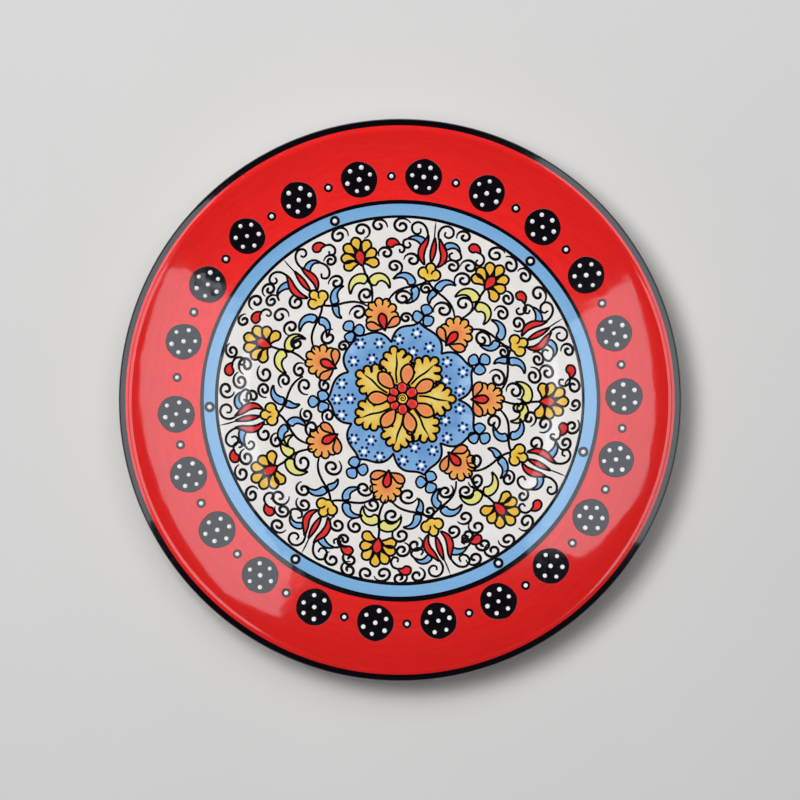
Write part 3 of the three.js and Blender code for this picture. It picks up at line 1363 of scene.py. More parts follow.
OPEN_TULIP = TulipKind(
    petals=(
        (((-3, 73.2), (-5.8, 78), (-6.0, 83), (-4.6, 87), (-4.0, 90.5)), 3.4),
        (((0.3, 75), (0.2, 79), (0.4, 84), (0.6, 89)), 2.7),
        (((3.2, 73.2), (5.5, 77), (5.8, 81), (5.0, 85), (4.6, 88.5)), 3.4),
    ),
    curls=(
        ((-4, 89), (-5, 92.5), (-8, 95.2), (-11.5, 95), (-13.2, 92.8), (-12, 90.7), (-9.8, 91), (-9.6, 93)),
        ((4.6, 87.5), (4.4, 91), (6.3, 95), (9.5, 96.3), (12, 94.5), (11.3, 92), (9, 91.8), (8.4, 93.4)),
    ),
    thread=((0.6, 87.5), (0.2, 92), (0.0, 97.2)),
    tails=(
        ((14, 84), (15.6, 80.5), (14.8, 76.8), (12, 75), (9.6, 77), (11, 79)),
        ((-12.5, 85.8), (-15, 84.5), (-15.8, 82)),
    ),
)
# The calyx below the petals: v, u and radius of its dabs, and its two creases.
CALYX_DABS = ((0.5, 72.6, 2.5), (-2.6, 69.2, 2.9), (3.6, 69.2, 2.9), (0.5, 68.2, 2.9))
CALYX_CREASES = (((-2.1, 71.8), (-1.0, 70.8), (-0.5, 69.2)), ((3.1, 71.8), (2.0, 70.8), (1.5, 69.2)))
# Leaves, each as its midrib and its width, and the stems.
SIDE_LEAVES = (
    (((-5.5, 84.6), (-8.5, 86.2), (-12, 86.3), (-15, 85)), 3.9),
    (((5.5, 84.8), (8.5, 86.6), (11.8, 86.3), (14.3, 83.6)), 3.5),
)
TULIP_STEMS = (
    ((0.5, 65.6), (-2, 63.4), (-6, 61.2), (-10.5, 59.2), (-14.5, 56.4), (-17, 52.6), (-18, 49.6)),
    ((0.5, 65.6), (2.5, 63.4), (6.5, 60.8), (11, 58.6), (15, 55.8), (17.6, 52.4), (18.6, 50)),
)
STEM_LEAVES = (
    (((-7.2, 61.4), (-8.6, 64.2), (-11.8, 65.6), (-15.5, 64.6), (-18, 62.2)), 4.5),
    (((-6.4, 60.4), (-4.6, 58.4), (-4.4, 55.8), (-6.4, 52.8), (-8.6, 51)), 4.3),
    (((6.4, 61.4), (7.6, 64.4), (10, 66.6), (13.6, 67), (16, 66.2)), 4.3),
    (((5.6, 60.8), (4.2, 58.6), (3.4, 56.4), (4.0, 53.4)), 3.7),
)
FAN_LEAVES = (
    (((0.6, 66.4), (-2.8, 68.4), (-6.4, 67.9), (-9.0, 65.2), (-10.2, 61.4)), 5.4),
    (((1.8, 63.6), (4.8, 66.2), (8.4, 66.0), (10.8, 62.8), (10.9, 58.8)), 5.4),
)
# The tip and the root of each petal of a fan flower, from its heart.
FAN_PETALS = (
    ((-9.6, 0.4), (-1.2, 1.2)),
    ((-9.9, 6.4), (-1.8, 3.6)),
    ((-6.6, 12.6), (-1.6, 6.2)),
    ((-0.2, 15.2), (0.5, 7.4)),
    ((7.0, 11.8), (2.0, 5.6)),
    ((9.4, 5.6), (2.0, 3.2)),
    ((8.8, -2.0), (1.0, 0.9)),
)
FAN_STEM = ((0.2, 75.0), (0.5, 70), (1.6, 65), (1.4, 60), (0.4, 56.2), (-0.6, 53.6))
COMMA_CURL = ((0.0, 0.0), (2.8, -1.2), (3.8, -4.2), (2.2, -6.4), (0.0, -5.6), (0.4, -3.6))


@dataclass
class FieldPainter:
    """Paints the flowers, leaves and scrolls of the white field."""

    paint: Palette
    rng: np.random.Generator
    oval: float = 1.07
    scroll_width: float = 1.15
    scroll_start: float = 0.2
    scroll_growth: float = 1.15
    steps_per_turn: int = 20
    left_handed: float = 0.25

    def scroll(self, seat: Seat, scroll: Scroll) -> None:
        """Paints a curl: its radius grows evenly with its turn, from a blunt inner end to a thin tail.

        At a share t of its turn the radius is the curl's own times the start plus the growth times t.

        Args:
            seat: where the cell is.
            scroll: the curl.
        """
        steps = int(self.steps_per_turn * scroll.turns) + 4
        t = np.linspace(0, 1, steps)
        size = scroll.radius * (self.scroll_start + self.scroll_growth * t)
        turn = math.radians(scroll.opens) - scroll.hand * 2 * np.pi * scroll.turns * (1 - t)
        across = scroll.v + self.oval * size * np.cos(turn)
        path = seat.put(np.column_stack([across, scroll.u + size / self.oval * np.sin(turn)]))
        widths = line_width(steps, self.paint.line * self.scroll_width, 1.0, 0.4, 0.10)
        self.paint.brush.ribbon(self.paint.pile("scrolls"), path, widths, Layer.FILL_LINE.value)

    def scrolls(self, seat: Seat, places: Sequence[tuple[float, float, float]]) -> None:
        """Paints the loose curls of one cell, each turned as the painter's hand went.

        Args:
            seat: where the cell is.
            places: v, u and radius of each curl.
        """
        for v, u, radius in places:
            hand = 1 if v > 0 else -1
            if self.rng.random() < self.left_handed:
                hand = -hand
            opens = self.rng.uniform(-60, 60) + (200 if hand > 0 else -20)
            self.scroll(seat, Scroll(v, u, radius, opens, hand, self.rng.uniform(1.25, 1.5)))

    def blades(
        self, names: tuple[str, str], seat: Seat, shapes: Sequence[tuple[Points, float]], steps: int
    ) -> None:
        """Paints leaves that thin from their stems to their points.

        Args:
            names: the painted parts of their pools and of their lines.
            seat: where the motif is.
            shapes: the midrib and the width of each.
            steps: steps along each.
        """
        for points, width in shapes:
            self.paint.blade(*names, seat, points, horn(steps, width), FILL, 0.9)

    def tulip(self, seat: Seat, kind: TulipKind) -> None:
        """Paints a tulip: three red petals, its curls, its yellow calyx and two blue side leaves.

        Args:
            seat: where it is.
            kind: which way it is drawn.
        """
        paint = self.paint
        for points, width in kind.petals:
            paint.blade("tulip_petals", "tulip_lines", seat, points, leaf(22, width, 0.48), OVER, 0.9)
        for curl in kind.curls:
            paint.stroke("tulip_lines", seat, curl)
        paint.stroke("tulip_lines", seat, kind.thread, width=0.6, end=0.3)
        paint.blob("calyxes", "calyx_lines", seat, CALYX_DABS, (0.5, 69.6), TOP, 60, 0.95)
        for crease in CALYX_CREASES:
            paint.stroke("calyx_lines", seat, crease, Layer.TOP_LINE, 0.8, 1.0)
        self.blades(("side_leaves", "side_leaf_lines"), seat, SIDE_LEAVES, 14)
        for tail in kind.tails:
            paint.stroke("side_leaf_lines", seat, tail)

    def stems(self, seat: Seat) -> None:
        """Paints the two stems below the calyx and the blue leaves that cross them.

        Args:
            seat: where the tulip is.
        """
        for stem in TULIP_STEMS:
            self.paint.stroke("stems", seat, stem, start=0.9, end=0.75)
        self.blades(("stem_leaves", "stem_leaf_lines"), seat, STEM_LEAVES, 16)

    def fan_flower(self, seat: Seat) -> None:
        """Paints a fan flower: seven yellow petals round a red drop, on a stem with two green leaves.

        Args:
            seat: where it is.
        """
        paint = self.paint
        base = FAN_STEM[0][1]
        for (tip_v, tip_u), (root_v, root_u) in FAN_PETALS:
            middle_v = (tip_v + root_v) / 2
            middle_u = (tip_u + root_u) / 2 + (0.9 if tip_u < 3 else 0.2)
            points = [(root_v, base + root_u), (middle_v, base + middle_u), (tip_v, base + tip_u)]
            paint.blade("fan_petals", "fan_lines", seat, points, teardrop(20, 5.3, 0.66), OVER, 0.95)
        drop = [(0.2, base - 0.6), (0.1, base + 3.5), (0.4, base + 8.2)]
        paint.blade("fan_drops", "fan_lines", seat, drop, teardrop(20, 5.2, 0.6), TOP, 0.95)
        paint.stroke("stems", seat, FAN_STEM, start=0.9, end=0.75)
        self.blades(("fan_leaves", "fan_leaf_lines"), seat, FAN_LEAVES, 18)

    def palmette(self, seat: Seat) -> None:
        """Paints a palmette: an orange crown of lobes, two side petals and a red drop.

        Args:
            seat: where it is.
        """
        paint = self.paint
        lobes = [
            (6.8 * math.sin(math.radians(angle)), 46.6 + 7.1 * math.cos(math.radians(angle)), 2.1)
            for angle in (-105, -70, -35, 0, 35, 70, 105)
        ]
        names = ("palmette_crowns", "palmette_lines")
        paint.blob(*names, seat, [*lobes, (0, 46.4, 6.2)], (0, 46.4), FILL, 200, 0.9)
        for angle in (-87.5, -52.5, -17.5, 17.5, 52.5, 87.5):
            v, u = math.sin(math.radians(angle)), math.cos(math.radians(angle))
            crease = [(out * v, 46.6 + out * u) for out in (8.3, 6.6, 5.0)]
            paint.stroke("palmette_lines", seat, crease, width=0.8, end=0.6)
        for side in (-1, 1):
            points = [(side * 0.6, 39.4), (side * 4.2, 40.6), (side * 9.2, 43.4)]
            paint.blade(*names, seat, points, teardrop(18, 4.6, 0.66), OVER, 0.9)
        drop = [(0, 37.8), (0, 42), (0, 47.4)]
        paint.blade("palmette_drops", "palmette_lines", seat, drop, teardrop(20, 4.4, 0.66), TOP, 0.95)

    def trefoil(self, seat: Seat, radius: float, lean: float) -> None:
        """Paints a blue trefoil: three round lobes that meet, each with its own line.

        Args:
            seat: where it is round the plate.
            radius: how far out its middle lies.
            lean: how far it is turned, in degrees.
        """
        for angle in (0, 120, 240):
            way = math.radians(angle + lean)
            v, u = math.sin(way), math.cos(way)
            points = [(out * v, radius + out * u) for out in (0.3, 3, 6.3)]
            self.paint.blade("trefoils", "trefoil_lines", seat, points, teardrop(18, 6.2, 0.58), FILL, 0.85)

    def comma(self, seat: Seat, radius: float, size: float) -> None:
        """Paints a red comma: a drop whose line runs on into a curl.

        Args:
            seat: where it is round the plate.
            radius: how far out it lies.
            size: how big the curl is, in usual curls.
        """
        drop = [(3.8, radius - 0.4), (0.8, radius + 1.0), (-3.4, radius - 0.4)]
        self.paint.blade("commas", "comma_lines", seat, drop, teardrop(18, 4.7, 0.66), OVER, 0.9)
        curl = [(3.4 + size * v, radius - 0.2 + size * u) for v, u in COMMA_CURL]
        self.paint.stroke("comma_lines", seat, curl)


# How high the heart, the beads and the eye of the rosette stand above the glaze, in millimetres.
HEART_LIFT = 0.078
BEAD_LIFT = 0.085
EYE_LIFT = 0.09


@dataclass
class Medallion:
    """The blue medallion in the middle and the rosette painted over it."""

    paint: Palette
    tips: Points
    notches: Points
    leaf_ways: Sequence[float] = (0, 50, 101, 151, 208, 264, 308)
    petal_ways: Sequence[float] = (79.6, 28.9, -27.8, -73.9, -125.4, 179, 132.3)
    beads: Points = (
        (92, 2.5), (33, 2.6), (-29, 2.7), (-90, 2.5), (-139, 2.15), (-178, 2.05), (143, 2.15)
    )
    rosette_middle: tuple[float, float] = (1.4, 0.8)

    def outline(self) -> np.ndarray:
        """Draws the edge of the seven lobes.

        Within half a lobe, p runs from 0 at its tip to 1 at the notch beside it, and the radius falls
        from the tip's to the notch's as 0.74 (1 - p to the fourth) + 0.26 (1 - p) to the seventh.

        Returns:
            Its points, n by 2.
        """
        knots = [(way % 360, radius, 0.0) for way, radius in self.tips]
        knots += [(way % 360, radius, 1.0) for way, radius in self.notches]
        known, radii, parts = np.array(sorted(knots)).T
        turn = np.linspace(0, 360, 504, endpoint=False)
        p = np.interp(turn, known, parts, period=360)
        after = np.searchsorted(known, turn) % len(known)
        tip_after = parts[after] < 0.5
        tip = np.where(tip_after, radii[after], radii[after - 1])
        notch = np.where(tip_after, radii[after - 1], radii[after])
        radius = notch + (tip - notch) * (0.74 * (1 - p**4) + 0.26 * (1 - p) ** 7)
        return radius[:, None] * ways(np.radians(turn))

    def paint_lobes(self) -> None:
        """Lays the blue, its black outline and the ringed white dots."""
        edge = self.outline()
        self.paint.brush.puddle(self.paint.pile("medallion_lobes"), np.zeros(2), edge, Layer.GROUND.value)
        self.paint.outline("medallion_lines", edge, Layer.FILL_LINE, 1.0)
        for tip, tip_radius in self.tips:
            seat = Seat(tip)
            for v, u in ((0, 36.8), (-8.4, 31.2), (8.4, 31.2), (0.4, 26.6)):
                u = min(u, tip_radius - 5.2)
                place = seat.put([(v, u)])[0]
                self.paint.brush.bead(self.paint.pile("medallion_dots"), place, 1.35, Layer.DOT.value, 12)
                for spoke in range(6):
                    way = math.radians(spoke * 60 + tip)
                    ring = place + 2.45 * np.array([math.cos(way), math.sin(way)])
                    self.paint.brush.bead(self.paint.pile("medallion_navy"), ring, 1.0, Layer.FILL.value, 8)

    def paint_rosette(self) -> None:
        """Lays the seven notched yellow leaves, the orange petals, the red beads and the eye."""
        paint = self.paint
        for way in self.leaf_ways:
            seat = Seat(way, self.rosette_middle)
            circles = [(0.3, 26.3, 2.2), (0, 22.5, 3.4), (0, 18.6, 5.0), (0, 12, 4.8)]
            for side, bulge in ((-1, 0.92), (1, 1.08)):
                circles += [(side * bulge * 4.1, 24.0, 2.0), (side * bulge * 6.7, 20.6, 2.1),
                            (side * bulge * 6.6, 16.3, 2.2)]
                for notch_v, notch_u in ((2.1, 26.0), (6.3, 22.8)):
                    crease_v = side * bulge * notch_v
                    crease = [(crease_v, notch_u), (crease_v * 0.62, notch_u - 1.9)]
                    paint.stroke("rosette_lines", seat, crease, Layer.OVER_LINE, 0.7, end=0.5)
            paint.blob("rosette_leaves", "rosette_lines", seat, circles, (0, 18), OVER, 200)
            rib = [(-1.4, 8.5), (-0.9, 14), (0.6, 19), (1.2, 24)]
            paint.stroke("rosette_lines", seat, rib, Layer.OVER_LINE, 0.9, end=0.4)
        for way in self.petal_ways:
            seat = Seat(way, self.rosette_middle)
            points = [(0, 6.6), (0, 12), (0, 18.8)]
            outline = teardrop(22, 7.0, 0.6)
            paint.blade("rosette_petals", "rosette_petal_lines", seat, points, outline, TOP, 0.95)
        heart = Seat(0, self.rosette_middle)
        disc = heart.handed(dabs([(0, 0, 7.0)], (0, 0), 40))
        paint.brush.puddle(paint.pile("rosette_heart"), np.array(self.rosette_middle), disc, HEART_LIFT)
        for way, size in self.beads:
            seat = Seat(way, self.rosette_middle)
            circles = [(0, 5.2, 0.92 * size), (0, 6.1, size)]
            edge = seat.handed(dabs(circles, (0, 6), 24))
            paint.brush.puddle(paint.pile("rosette_beads"), seat.put([(0, 6)])[0], edge, BEAD_LIFT)
            paint.outline("rosette_bead_lines", edge, Layer.DOT, 0.62)
        eye = Seat(0, self.rosette_middle)
        edge = eye.handed(dabs([(0, 0, 3.0)], (0, 0), 28))
        paint.brush.puddle(paint.pile("rosette_eye"), np.array(self.rosette_middle), edge, EYE_LIFT)
        paint.outline("rosette_bead_lines", edge, Layer.DOT, 0.8)
        t = np.linspace(0, 1, 40)
        turn = 2 * np.pi * 1.8 * t
        spiral = np.column_stack([2.2 * t * np.cos(turn), 2.2 * t * np.sin(turn)])
        path = eye.put(spiral)
        paint.brush.ribbon(paint.pile("rosette_bead_lines"), path, np.full(40, 0.34), EYE_LIFT + 0.012)


# The rim's spots and beads: how high they stand and how far a spot runs past the frame's, in
# millimetres, how much of a bead is white, and how many of each there are.
SPOT_LIFT = 0.05
RING_LIFT = 0.07
RING_SPREAD = 0.32
WHITE_SHARE = 0.54
SPOT_COUNT = 22
BAND_BEAD_COUNT = 6


def numbered(kind: str, count: int) -> list[str]:
    """The names of a row of like CAD nodes."""
    return [f"{kind}_{number:02d}" for number in range(1, count + 1)]


@dataclass
class RimSpots:
    """The black spots of the rim, each set with raised white beads, and the beads between them."""

    paint: Palette
    rng: np.random.Generator
    ring_radius: float = 6.35
    white_radius: float = 1.22
    white_height: float = 0.45

    @staticmethod
    def place(node: str) -> np.ndarray:
        """The middle of a CAD node across the plate, in millimetres."""
        low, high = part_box(node)
        return np.array([(low.x + high.x) / 2, (low.y + high.y) / 2]) / MM

    @staticmethod
    def size(node: str) -> float:
        """Half of the longer side of a CAD node across the plate, in millimetres."""
        low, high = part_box(node)
        return max(high.x - low.x, high.y - low.y) / 2 / MM

    def spots(self) -> None:
        """Paints the spots, and sets one bead in the middle of each and six round it."""
        paint = self.paint
        for node in numbered("rim_spot", SPOT_COUNT):
            middle, radius = self.place(node), self.size(node)
            turn = round_steps(48)
            edge_radius = (radius + RING_SPREAD) * (1 + wavy(turn, self.rng, (2, 3, 5), 0.018))
            edge = middle + edge_radius[:, None] * ways(turn)
            paint.brush.puddle(paint.pile("rim_spots"), middle, edge, SPOT_LIFT)
            start = self.rng.uniform(0, 60)
            for spoke in range(7):
                way = math.radians(start + 60 * spoke + self.rng.normal(0, 3))
                out = 0 if spoke == 6 else self.ring_radius + self.rng.normal(0, 0.2)
                spot = middle + out * np.array([math.cos(way), math.sin(way)])
                size = self.white_radius * self.rng.uniform(0.9, 1.12)
                paint.brush.bead(paint.pile("spot_beads"), spot, size, self.white_height, 12)

    def spacers(self, kind: str, count: int, spread: float) -> None:
        """Paints black rings with a raised white bead in each.

        Args:
            kind: what the CAD calls these beads.
            count: how many there are.
            spread: how far the black runs out past the bead of the frame.
        """
        paint = self.paint
        for node in numbered(kind, count):
            middle, radius = self.place(node), self.size(node)
            edge = middle + (radius + spread) * ways(round_steps(24))
            paint.brush.puddle(paint.pile(f"{kind}_rings"), middle, edge, RING_LIFT)
            paint.brush.bead(paint.pile(f"{kind}_beads"), middle, radius * WHITE_SHARE, self.white_height, 12)


# --------------------------------------------------------------------------------------------------
# The studio


# Where the corners of the two glowing cloths hang, x and y in heights above the floor.
LEFT_PANEL = ((-0.11, -0.04), (-0.344, -0.164), (-1.05, -0.56), (-1.12, -0.6), (-1.14, 0.392), (-0.937, 0.5),
              (-0.758, 0.571), (-0.584, 0.525), (-0.224, 0.267), (-0.11, 0.1))
RIGHT_PANEL = ((0.11, -0.06), (0.318, -0.191), (1.059, -0.636), (1.22, -0.72), (1.285, -0.047), (1.0, 0.58),
               (0.84, 0.93), (0.5, 0.88), (0.34, 0.58), (0.175, 0.304), (0.11, 0.08))


@dataclass
class Studio:
    """The pale floor, the soft lights and the camera straight above the plate."""

    plate_radius: float
    rim_height: float
    lens: float = 400.0
    panel_height: float = 1.5
    panel_glow: float = 3.5
    sensor: float = 36.0
    frame_width: float = 426.4
    floor_half: float = 4.0
    floor_drop: float = 0.0001
    room_glow: float = 0.06

    def floor(self) -> None:
        """Lays the floor just below the foot ring."""
        half = self.floor_half
        corners = [(x * half, y * half, -self.floor_drop) for x, y in ((-1, -1), (1, -1), (1, 1), (-1, 1))]
        mesh = bpy.data.meshes.new("floor")
        mesh.from_pydata(corners, [], [(0, 1, 2, 3)])
        mesh.materials.append(StudioFloor().build())
        ground = bpy.data.objects.new("floor", mesh)
        bpy.context.scene.collection.objects.link(ground)

    def camera(self) -> None:
        """Sets the camera over the plate, at the distance where the rim plane is one frame wide."""
        data = bpy.data.cameras.new("camera")
        data.lens = self.lens
        data.sensor_width = self.sensor
        distance = self.frame_width * MM * self.lens / self.sensor
        camera = bpy.data.objects.new("camera", data)
        camera.location = (0, 0, self.rim_height * MM + distance)
        bpy.context.scene.collection.objects.link(camera)
        bpy.context.scene.camera = camera

    def light(self, name: str, azimuth: float, tilt: float, distance: float, spread: tuple[float, float],
              glow: float) -> None:
        """Hangs a soft box that lights the plate but isn't mirrored in its glaze.

        Args:
            name: its name.
            azimuth: where it hangs round the plate, in degrees.
            tilt: how far it hangs from straight overhead, in degrees.
            distance: how far away it is, in metres.
            spread: half of the angle that it fills along its tilt and across, in degrees.
            glow: how bright its face is, as a white surface in full light is 1.
        """
        data = bpy.data.lights.new(name, "AREA")
        data.shape = "RECTANGLE"
        data.size_y, data.size = [2 * distance * math.tan(math.radians(half)) for half in spread]
        data.energy = glow * math.pi * data.size * data.size_y
        lamp = bpy.data.objects.new(name, data)
        way, lean = math.radians(azimuth), math.radians(tilt)
        direction = np.array([math.sin(lean) * math.cos(way), math.sin(lean) * math.sin(way), math.cos(lean)])
        lamp.location = tuple(direction * distance)
        lamp.rotation_euler = (0.0, 0.0, 0.0)
        lamp.rotation_mode = "QUATERNION"
        lamp.rotation_quaternion = Vector(tuple(-direction)).to_track_quat("-Z", "Y")
        lamp.visible_camera = False
        lamp.visible_glossy = False
        bpy.context.scene.collection.objects.link(lamp)

    def panel(self, name: str, corners: Points) -> None:
        """Hangs a flat glowing cloth over the plate, which the glaze mirrors.

        Args:
            name: its name.
            corners: where its corners hang, x and y in panel heights.
        """
        desk = NodeDesk(name)
        glow = desk.add("ShaderNodeEmission", Color=(0.86, 0.92, 1.0, 1.0), Strength=self.panel_glow)
        mesh = bpy.data.meshes.new(name)
        points = [(x * self.panel_height, y * self.panel_height, self.panel_height) for x, y in corners]
        mesh.from_pydata(points, [], [tuple(range(len(points)))])
        mesh.materials.append(desk.finish(glow))
        cloth = bpy.data.objects.new(name, mesh)
        cloth.visible_camera = False
        cloth.visible_diffuse = False
        cloth.visible_shadow = False
        bpy.context.scene.collection.objects.link(cloth)

    def lights(self) -> None:
        """Hangs the soft boxes and sets the dim room around them."""
        world = bpy.data.worlds.new("room")
        world.use_nodes = True
        world.node_tree.nodes["Background"].inputs[0].default_value = (0.9, 0.92, 1.0, 1.0)
        world.node_tree.nodes["Background"].inputs[1].default_value = self.room_glow
        bpy.context.scene.world = world
        self.panel("left_panel", LEFT_PANEL)
        self.panel("right_panel", RIGHT_PANEL)
        self.light("key", 140, 20, 2.6, (10, 10), 12.5)
        self.light("fill", 100, 14, 1.5, (24, 24), 1.9)
        bpy.context.scene.view_settings.view_transform = "Standard"


# --------------------------------------------------------------------------------------------------
# Putting it together

FACE_KNOTS = ((0, 0.0), (70, 0.0), (83, 6.6), (92, 4.0), (98.5, 6.0), (107, 12.0),
              (143.0, 30.0), (143.8, 30.0), (144.6, 0.0), (145.1, -7.0), (148.6, -11.0), (150, -24.0))

TULIP_WAYS = (129.7, 77.3, 25.3, -24.7, -75.2, -124.0, -173.3)
FAN_WAYS = (157.6, 105.7, 52.6, -0.5, -47.4, -98.7, -151.5)
PALMETTE_WAYS = (153.6, 102.2, 49.9, 0.5, -47.3, -99.0, -151.3)
TREFOILS = ((124.5, 44.6, -4), (74, 46.9, 6), (24.9, 46.8, -8), (-23.7, 46.3, 8), (-71.5, 46.3, -12),
            (-122.6, 43.3, 10), (-179, 42.9, 0))
MEDALLION_TIPS = ((125, 42.2), (76, 43), (23.8, 42.8), (-23.6, 44.2), (-72, 42.3), (-124.8, 38.8),
                  (179.4, 38.9))
MEDALLION_NOTCHES = ((98.5, 31), (48, 33), (0, 31.2), (-46.8, 31.3), (-97, 28.6), (-154, 28.6), (151.7, 31.2))
OPEN_TULIPS = (0, 3)

SCROLLS_BY_CELL = (
    ((-37, 86, 2.6), (-25.5, 89.5, 3.3), (-16, 90, 3), (-19, 84.5, 2.7), (-20.5, 75.5, 3.4), (-20, 67, 3.2),
     (19, 81, 2.7), (31, 88.5, 3.7), (-9, 75.5, 3.5), (14, 70, 3.2),
     (-8, 50, 3.5), (12.5, 50, 3.5), (-5, 41.5, 2.4), (22, 55, 3.3), (-23, 58.5, 3)),
    ((-10, 74.5, 3.2), (-18.5, 69, 3.2), (-24.5, 75, 3), (-31.5, 88.5, 3.2), (-19.5, 91, 3.6),
     (-40, 84, 3.5), (14.5, 92.5, 3), (19, 70, 3.5), (20.5, 77.5, 3.3), (33, 87, 3.5), (11.8, 75.8, 3),
     (22, 57.5, 3.6), (0.5, 61, 2.5), (-10.5, 53.5, 3.7), (12, 52, 3.8), (-6.5, 43.5, 2.5)),
    ((-10, 74.5, 3.2), (-18.5, 69, 3.2), (-24.5, 75, 3), (-31.5, 88.5, 3.2), (-19.5, 91, 3.6),
     (-40, 84, 3.5), (14.5, 92.5, 3), (19, 70, 3.5), (20.5, 77.5, 3.3), (33, 87, 3.5), (11.8, 75.8, 3),
     (22, 57.5, 3.6), (0.5, 61, 2.5), (-10.5, 53.5, 3.7), (12, 52, 3.8)),
    ((-37, 86, 2.6), (-25.5, 89.5, 3.3), (-16, 90, 3), (-20.5, 75.5, 3.4), (-20, 67, 3.2),
     (19, 81, 2.7), (31, 88.5, 3.7), (-9, 75.5, 3.5), (14, 70, 3.2),
     (-10, 50, 3.5), (12.5, 50, 3.5), (22, 55, 3.3), (-23, 58.5, 3)),
    ((-27.5, 90.5, 3.5), (-36.5, 87, 3.5), (-17, 92, 3.3), (-23.5, 86, 3.3), (-16.5, 79, 2.6), (-22.5, 76, 3.3),
     (-9.5, 75, 3.2), (-17.5, 69.5, 3.2), (15, 93, 3.3), (24.5, 92, 3), (32.5, 87.5, 3.5), (12, 77, 3.3),
     (19.5, 78, 3.3), (18, 70, 3.6), (-21.5, 56, 3.3), (20, 58.5, 3.5), (9, 50.5, 3.8), (-11, 53.5, 3.2),
     (0, 61.5, 2.6)),
    ((-37, 87, 3.3), (-28, 90.5, 3.4), (-17.5, 91, 3.2), (-25.5, 85.5, 3.3), (-17, 78.5, 2.7), (-9.5, 74, 3.4),
     (-18, 69.5, 3.2), (16.5, 92, 3.3), (19, 84, 3.2), (24.5, 79, 3.8), (11.5, 75, 3.2),
     (16, 68.5, 3.2), (-19, 54.5, 3.2), (-10.5, 50, 3.5), (10, 50, 3.8)),
    ((-29, 88.5, 3.4), (-41, 84.5, 3.3), (-21, 85, 3.4), (-9.5, 74, 3.6), (-14, 68, 3), (-27, 55.5, 4.2),
     (16.5, 91.5, 3.5), (36.5, 86, 3), (20, 83.5, 3.4), (28, 79.5, 3.6), (11, 78, 3), (14, 71.5, 3),
     (22.5, 70, 3.6), (17.5, 60, 3), (22, 51.5, 3), (13.5, 49.5, 3.4), (-2, 50.5, 3), (-9.5, 48.5, 3.3),
     (-4, 39, 3), (12.5, 39, 3)),
)

COMMAS = (
    (169.7, 92, 1), (149.9, 88, 0.8), (118, 92, 1), (92.6, 83.5, 0.7), (63.5, 89.5, 1), (40.2, 84.5, 1),
    (9.5, 92, 1), (-10.2, 88, 0.8), (-37.9, 91.7, 1), (-61.6, 84.5, 0.7), (-88.4, 90.6, 1), (-109.6, 84.5, 0.7),
    (-140.1, 91, 1), (-161.3, 93, 0.8),
)


def enamels() -> dict[str, bpy.types.Material]:
    """Makes the finishes of the painted colours.

    Returns:
        The materials by the name of their colour.
    """
    black_skin = GlazeSkin(patchiness=0.04)
    bead_skin = GlazeSkin(roughness=0.12, wave_height=0.00003)
    mixed = (
        Enamel("paint_black", srgb(12, 6, 14), srgb(4, 2, 8), srgb(10, 6, 14), 0.5, 220.0, 0.2,
               skin=black_skin),
        Enamel("paint_red", srgb(238, 52, 46), srgb(232, 44, 42), srgb(244, 88, 78), 0.30, 320.0, 0.06),
        Enamel("paint_yellow", srgb(252, 214, 88), srgb(244, 190, 60), srgb(252, 224, 112), 0.4, 200.0, 0.06),
        Enamel("paint_rosette_yellow", srgb(242, 194, 70), srgb(246, 226, 130), srgb(244, 198, 66), 0.5, 140.0,
               0.06),
        Enamel("paint_orange", srgb(252, 186, 92), srgb(246, 142, 86), srgb(250, 164, 100), 0.35, 260.0,
               0.06),
        Enamel("paint_blue", srgb(156, 208, 250), srgb(126, 178, 232), srgb(146, 198, 244), 0.45, 240.0,
               0.06),
        Enamel("paint_medallion_blue", srgb(136, 184, 232), srgb(112, 160, 214), srgb(146, 196, 238), 0.6,
               90.0, 0.08, 900.0, 0.0, 0.25),
        Enamel("paint_green", srgb(244, 238, 122), srgb(238, 234, 140), srgb(240, 238, 136), 0.4, 240.0,
               0.05),
        Enamel("paint_navy", srgb(16, 16, 100), srgb(10, 10, 88), srgb(30, 34, 130), 0.3, 400.0, 0.1),
        Enamel("paint_white", srgb(236, 236, 236), srgb(252, 252, 252), srgb(246, 246, 250), 0.3, 400.0, 0.03,
               skin=bead_skin),
    )
    return {finish.name: finish.build() for finish in mixed}


def white_ground() -> bpy.types.Material:
    """The ground of the field: warm white slip under the glaze, faintly grained."""
    return Enamel("ground_white", srgb(247, 244, 240), srgb(247, 244, 240), srgb(236, 232, 227), 0.6, 130.0,
                  0.05, 2200.0).build()


def back_glaze() -> bpy.types.Material:
    """The clear glaze over the clay of the back: creamy, with thin tan patches."""
    return Enamel("glaze_clear", srgb(236, 228, 212), srgb(236, 228, 212), srgb(214, 198, 172), 0.6, 60.0,
                  0.05, 1300.0).build()


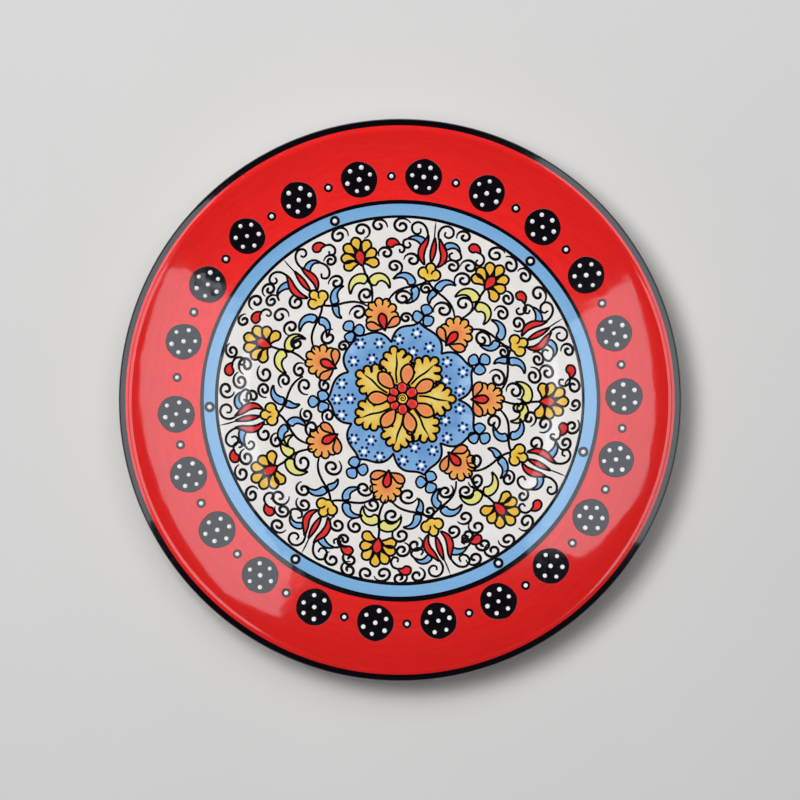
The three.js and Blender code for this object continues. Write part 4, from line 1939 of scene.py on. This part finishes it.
# The painted parts that each colour is used for, with the record's material slot.
COLOURS = {
    "paint_medallion_blue": ("blue_enamel", ("medallion_lobes",)),
    "paint_black": ("black_enamel", (
        "medallion_lines", "rosette_lines", "rosette_petal_lines", "rosette_heart",
        "rosette_bead_lines", "palmette_lines", "trefoil_lines", "tulip_lines", "calyx_lines",
        "side_leaf_lines", "stem_leaf_lines", "stems", "fan_lines", "fan_leaf_lines", "comma_lines",
        "scrolls", "rim_spots", "rim_bead_rings", "band_bead_rings"
    )),
    "paint_white": ("white_enamel", ("medallion_dots", "spot_beads", "rim_bead_beads", "band_bead_beads")),
    "paint_navy": ("blue_enamel", ("medallion_navy",)),
    "paint_rosette_yellow": (None, ("rosette_leaves",)),
    "paint_orange": (None, ("rosette_petals", "palmette_crowns")),
    "paint_red": ("red_enamel", ("rosette_beads", "palmette_drops", "tulip_petals", "fan_drops", "commas")),
    "paint_yellow": (None, ("rosette_eye", "calyxes", "fan_petals")),
    "paint_blue": ("blue_enamel", ("trefoils", "side_leaves", "stem_leaves")),
    "paint_green": (None, ("fan_leaves",)),
}


def main() -> None:
    """Builds the plate in the potter's order, then the studio."""
    rng = np.random.default_rng(SEED)
    sizes = Sizes()
    face = DishFace(sizes.floor, sizes.plate, FACE_KNOTS)
    brush = Brush(face)
    materials = enamels()
    dish = Dish(sizes, face)
    dish.clay(BareClay().build())
    glaze = back_glaze()
    dish.back_coat(glaze)
    dish.recess_coat(glaze)

    bands = Bands(sizes, dish, brush, rng)
    line = (sizes.inner_line - sizes.ground) / 2
    blue = BandedEnamel("band_blue_enamel", srgb(132, 186, 232), srgb(126, 180, 230), srgb(140, 192, 236),
                        sizes.inner_line, sizes.band)
    # The red rim's lean of 0.18 paints it paler towards the top left and darker towards the bottom right:
    # painted light and shade.
    red = BandedEnamel("rim_red_enamel", srgb(248, 42, 40), srgb(234, 34, 32), srgb(220, 30, 28),
                       sizes.outer_line, sizes.rim, 0.6, 0.18)
    inner = sizes.ground + line
    outer = sizes.band + line
    black = materials["paint_black"]
    bands.coat("ground_white", 0, inner, white_ground(), "white_ground", "white_ground")
    bands.coat("band_blue", inner, outer, blue.build(), "blue_enamel", "blue_band")
    bands.coat("rim_red", outer, sizes.rim + 0.2, red.build(), "red_enamel", "rim_enamel")
    bands.lip(black)
    bands.contour("inner_contour", inner, 1.75, 0.1, black)
    bands.contour("outer_contour", outer, 2.0, 1.0, black)

    paint = Palette(brush, materials)
    medallion = Medallion(paint, MEDALLION_TIPS, MEDALLION_NOTCHES)
    medallion.paint_lobes()
    medallion.paint_rosette()
    painter = FieldPainter(paint, rng)
    for number, way in enumerate(TULIP_WAYS):
        seat = Seat(way)
        painter.scrolls(seat, SCROLLS_BY_CELL[number])
        painter.stems(seat)
        painter.tulip(seat, OPEN_TULIP if number in OPEN_TULIPS else CLOSED_TULIP)
    for way in FAN_WAYS:
        painter.fan_flower(Seat(way))
    for way in PALMETTE_WAYS:
        painter.palmette(Seat(way))
    for way, radius, lean in TREFOILS:
        painter.trefoil(Seat(way), radius, lean)
    for way, radius, size in COMMAS:
        painter.comma(Seat(way), radius, size)

    spots = RimSpots(paint, rng)
    spots.spots()
    spots.spacers("rim_bead", SPOT_COUNT, 0.3)
    spots.spacers("band_bead", BAND_BEAD_COUNT, 0.45)
    stands_for = {
        "medallion_lobes": ["medallion"],
        "rim_spots": numbered("rim_spot", SPOT_COUNT),
        "rim_bead_rings": numbered("rim_bead", SPOT_COUNT),
        "band_bead_rings": numbered("band_bead", BAND_BEAD_COUNT),
    }
    finishes = {part: (colour, slot) for colour, (slot, parts) in COLOURS.items() for part in parts}
    for name, pile in paint.piles.items():
        colour, slot = finishes[name]
        pile.make(materials[colour], slot, stands_for.get(name, ()))

    studio = Studio(sizes.plate, float(face.height(sizes.plate)))
    studio.floor()
    studio.camera()
    studio.lights()


if __name__ == "__main__":
    logging.basicConfig(level=logging.INFO, format="%(message)s")
    main()
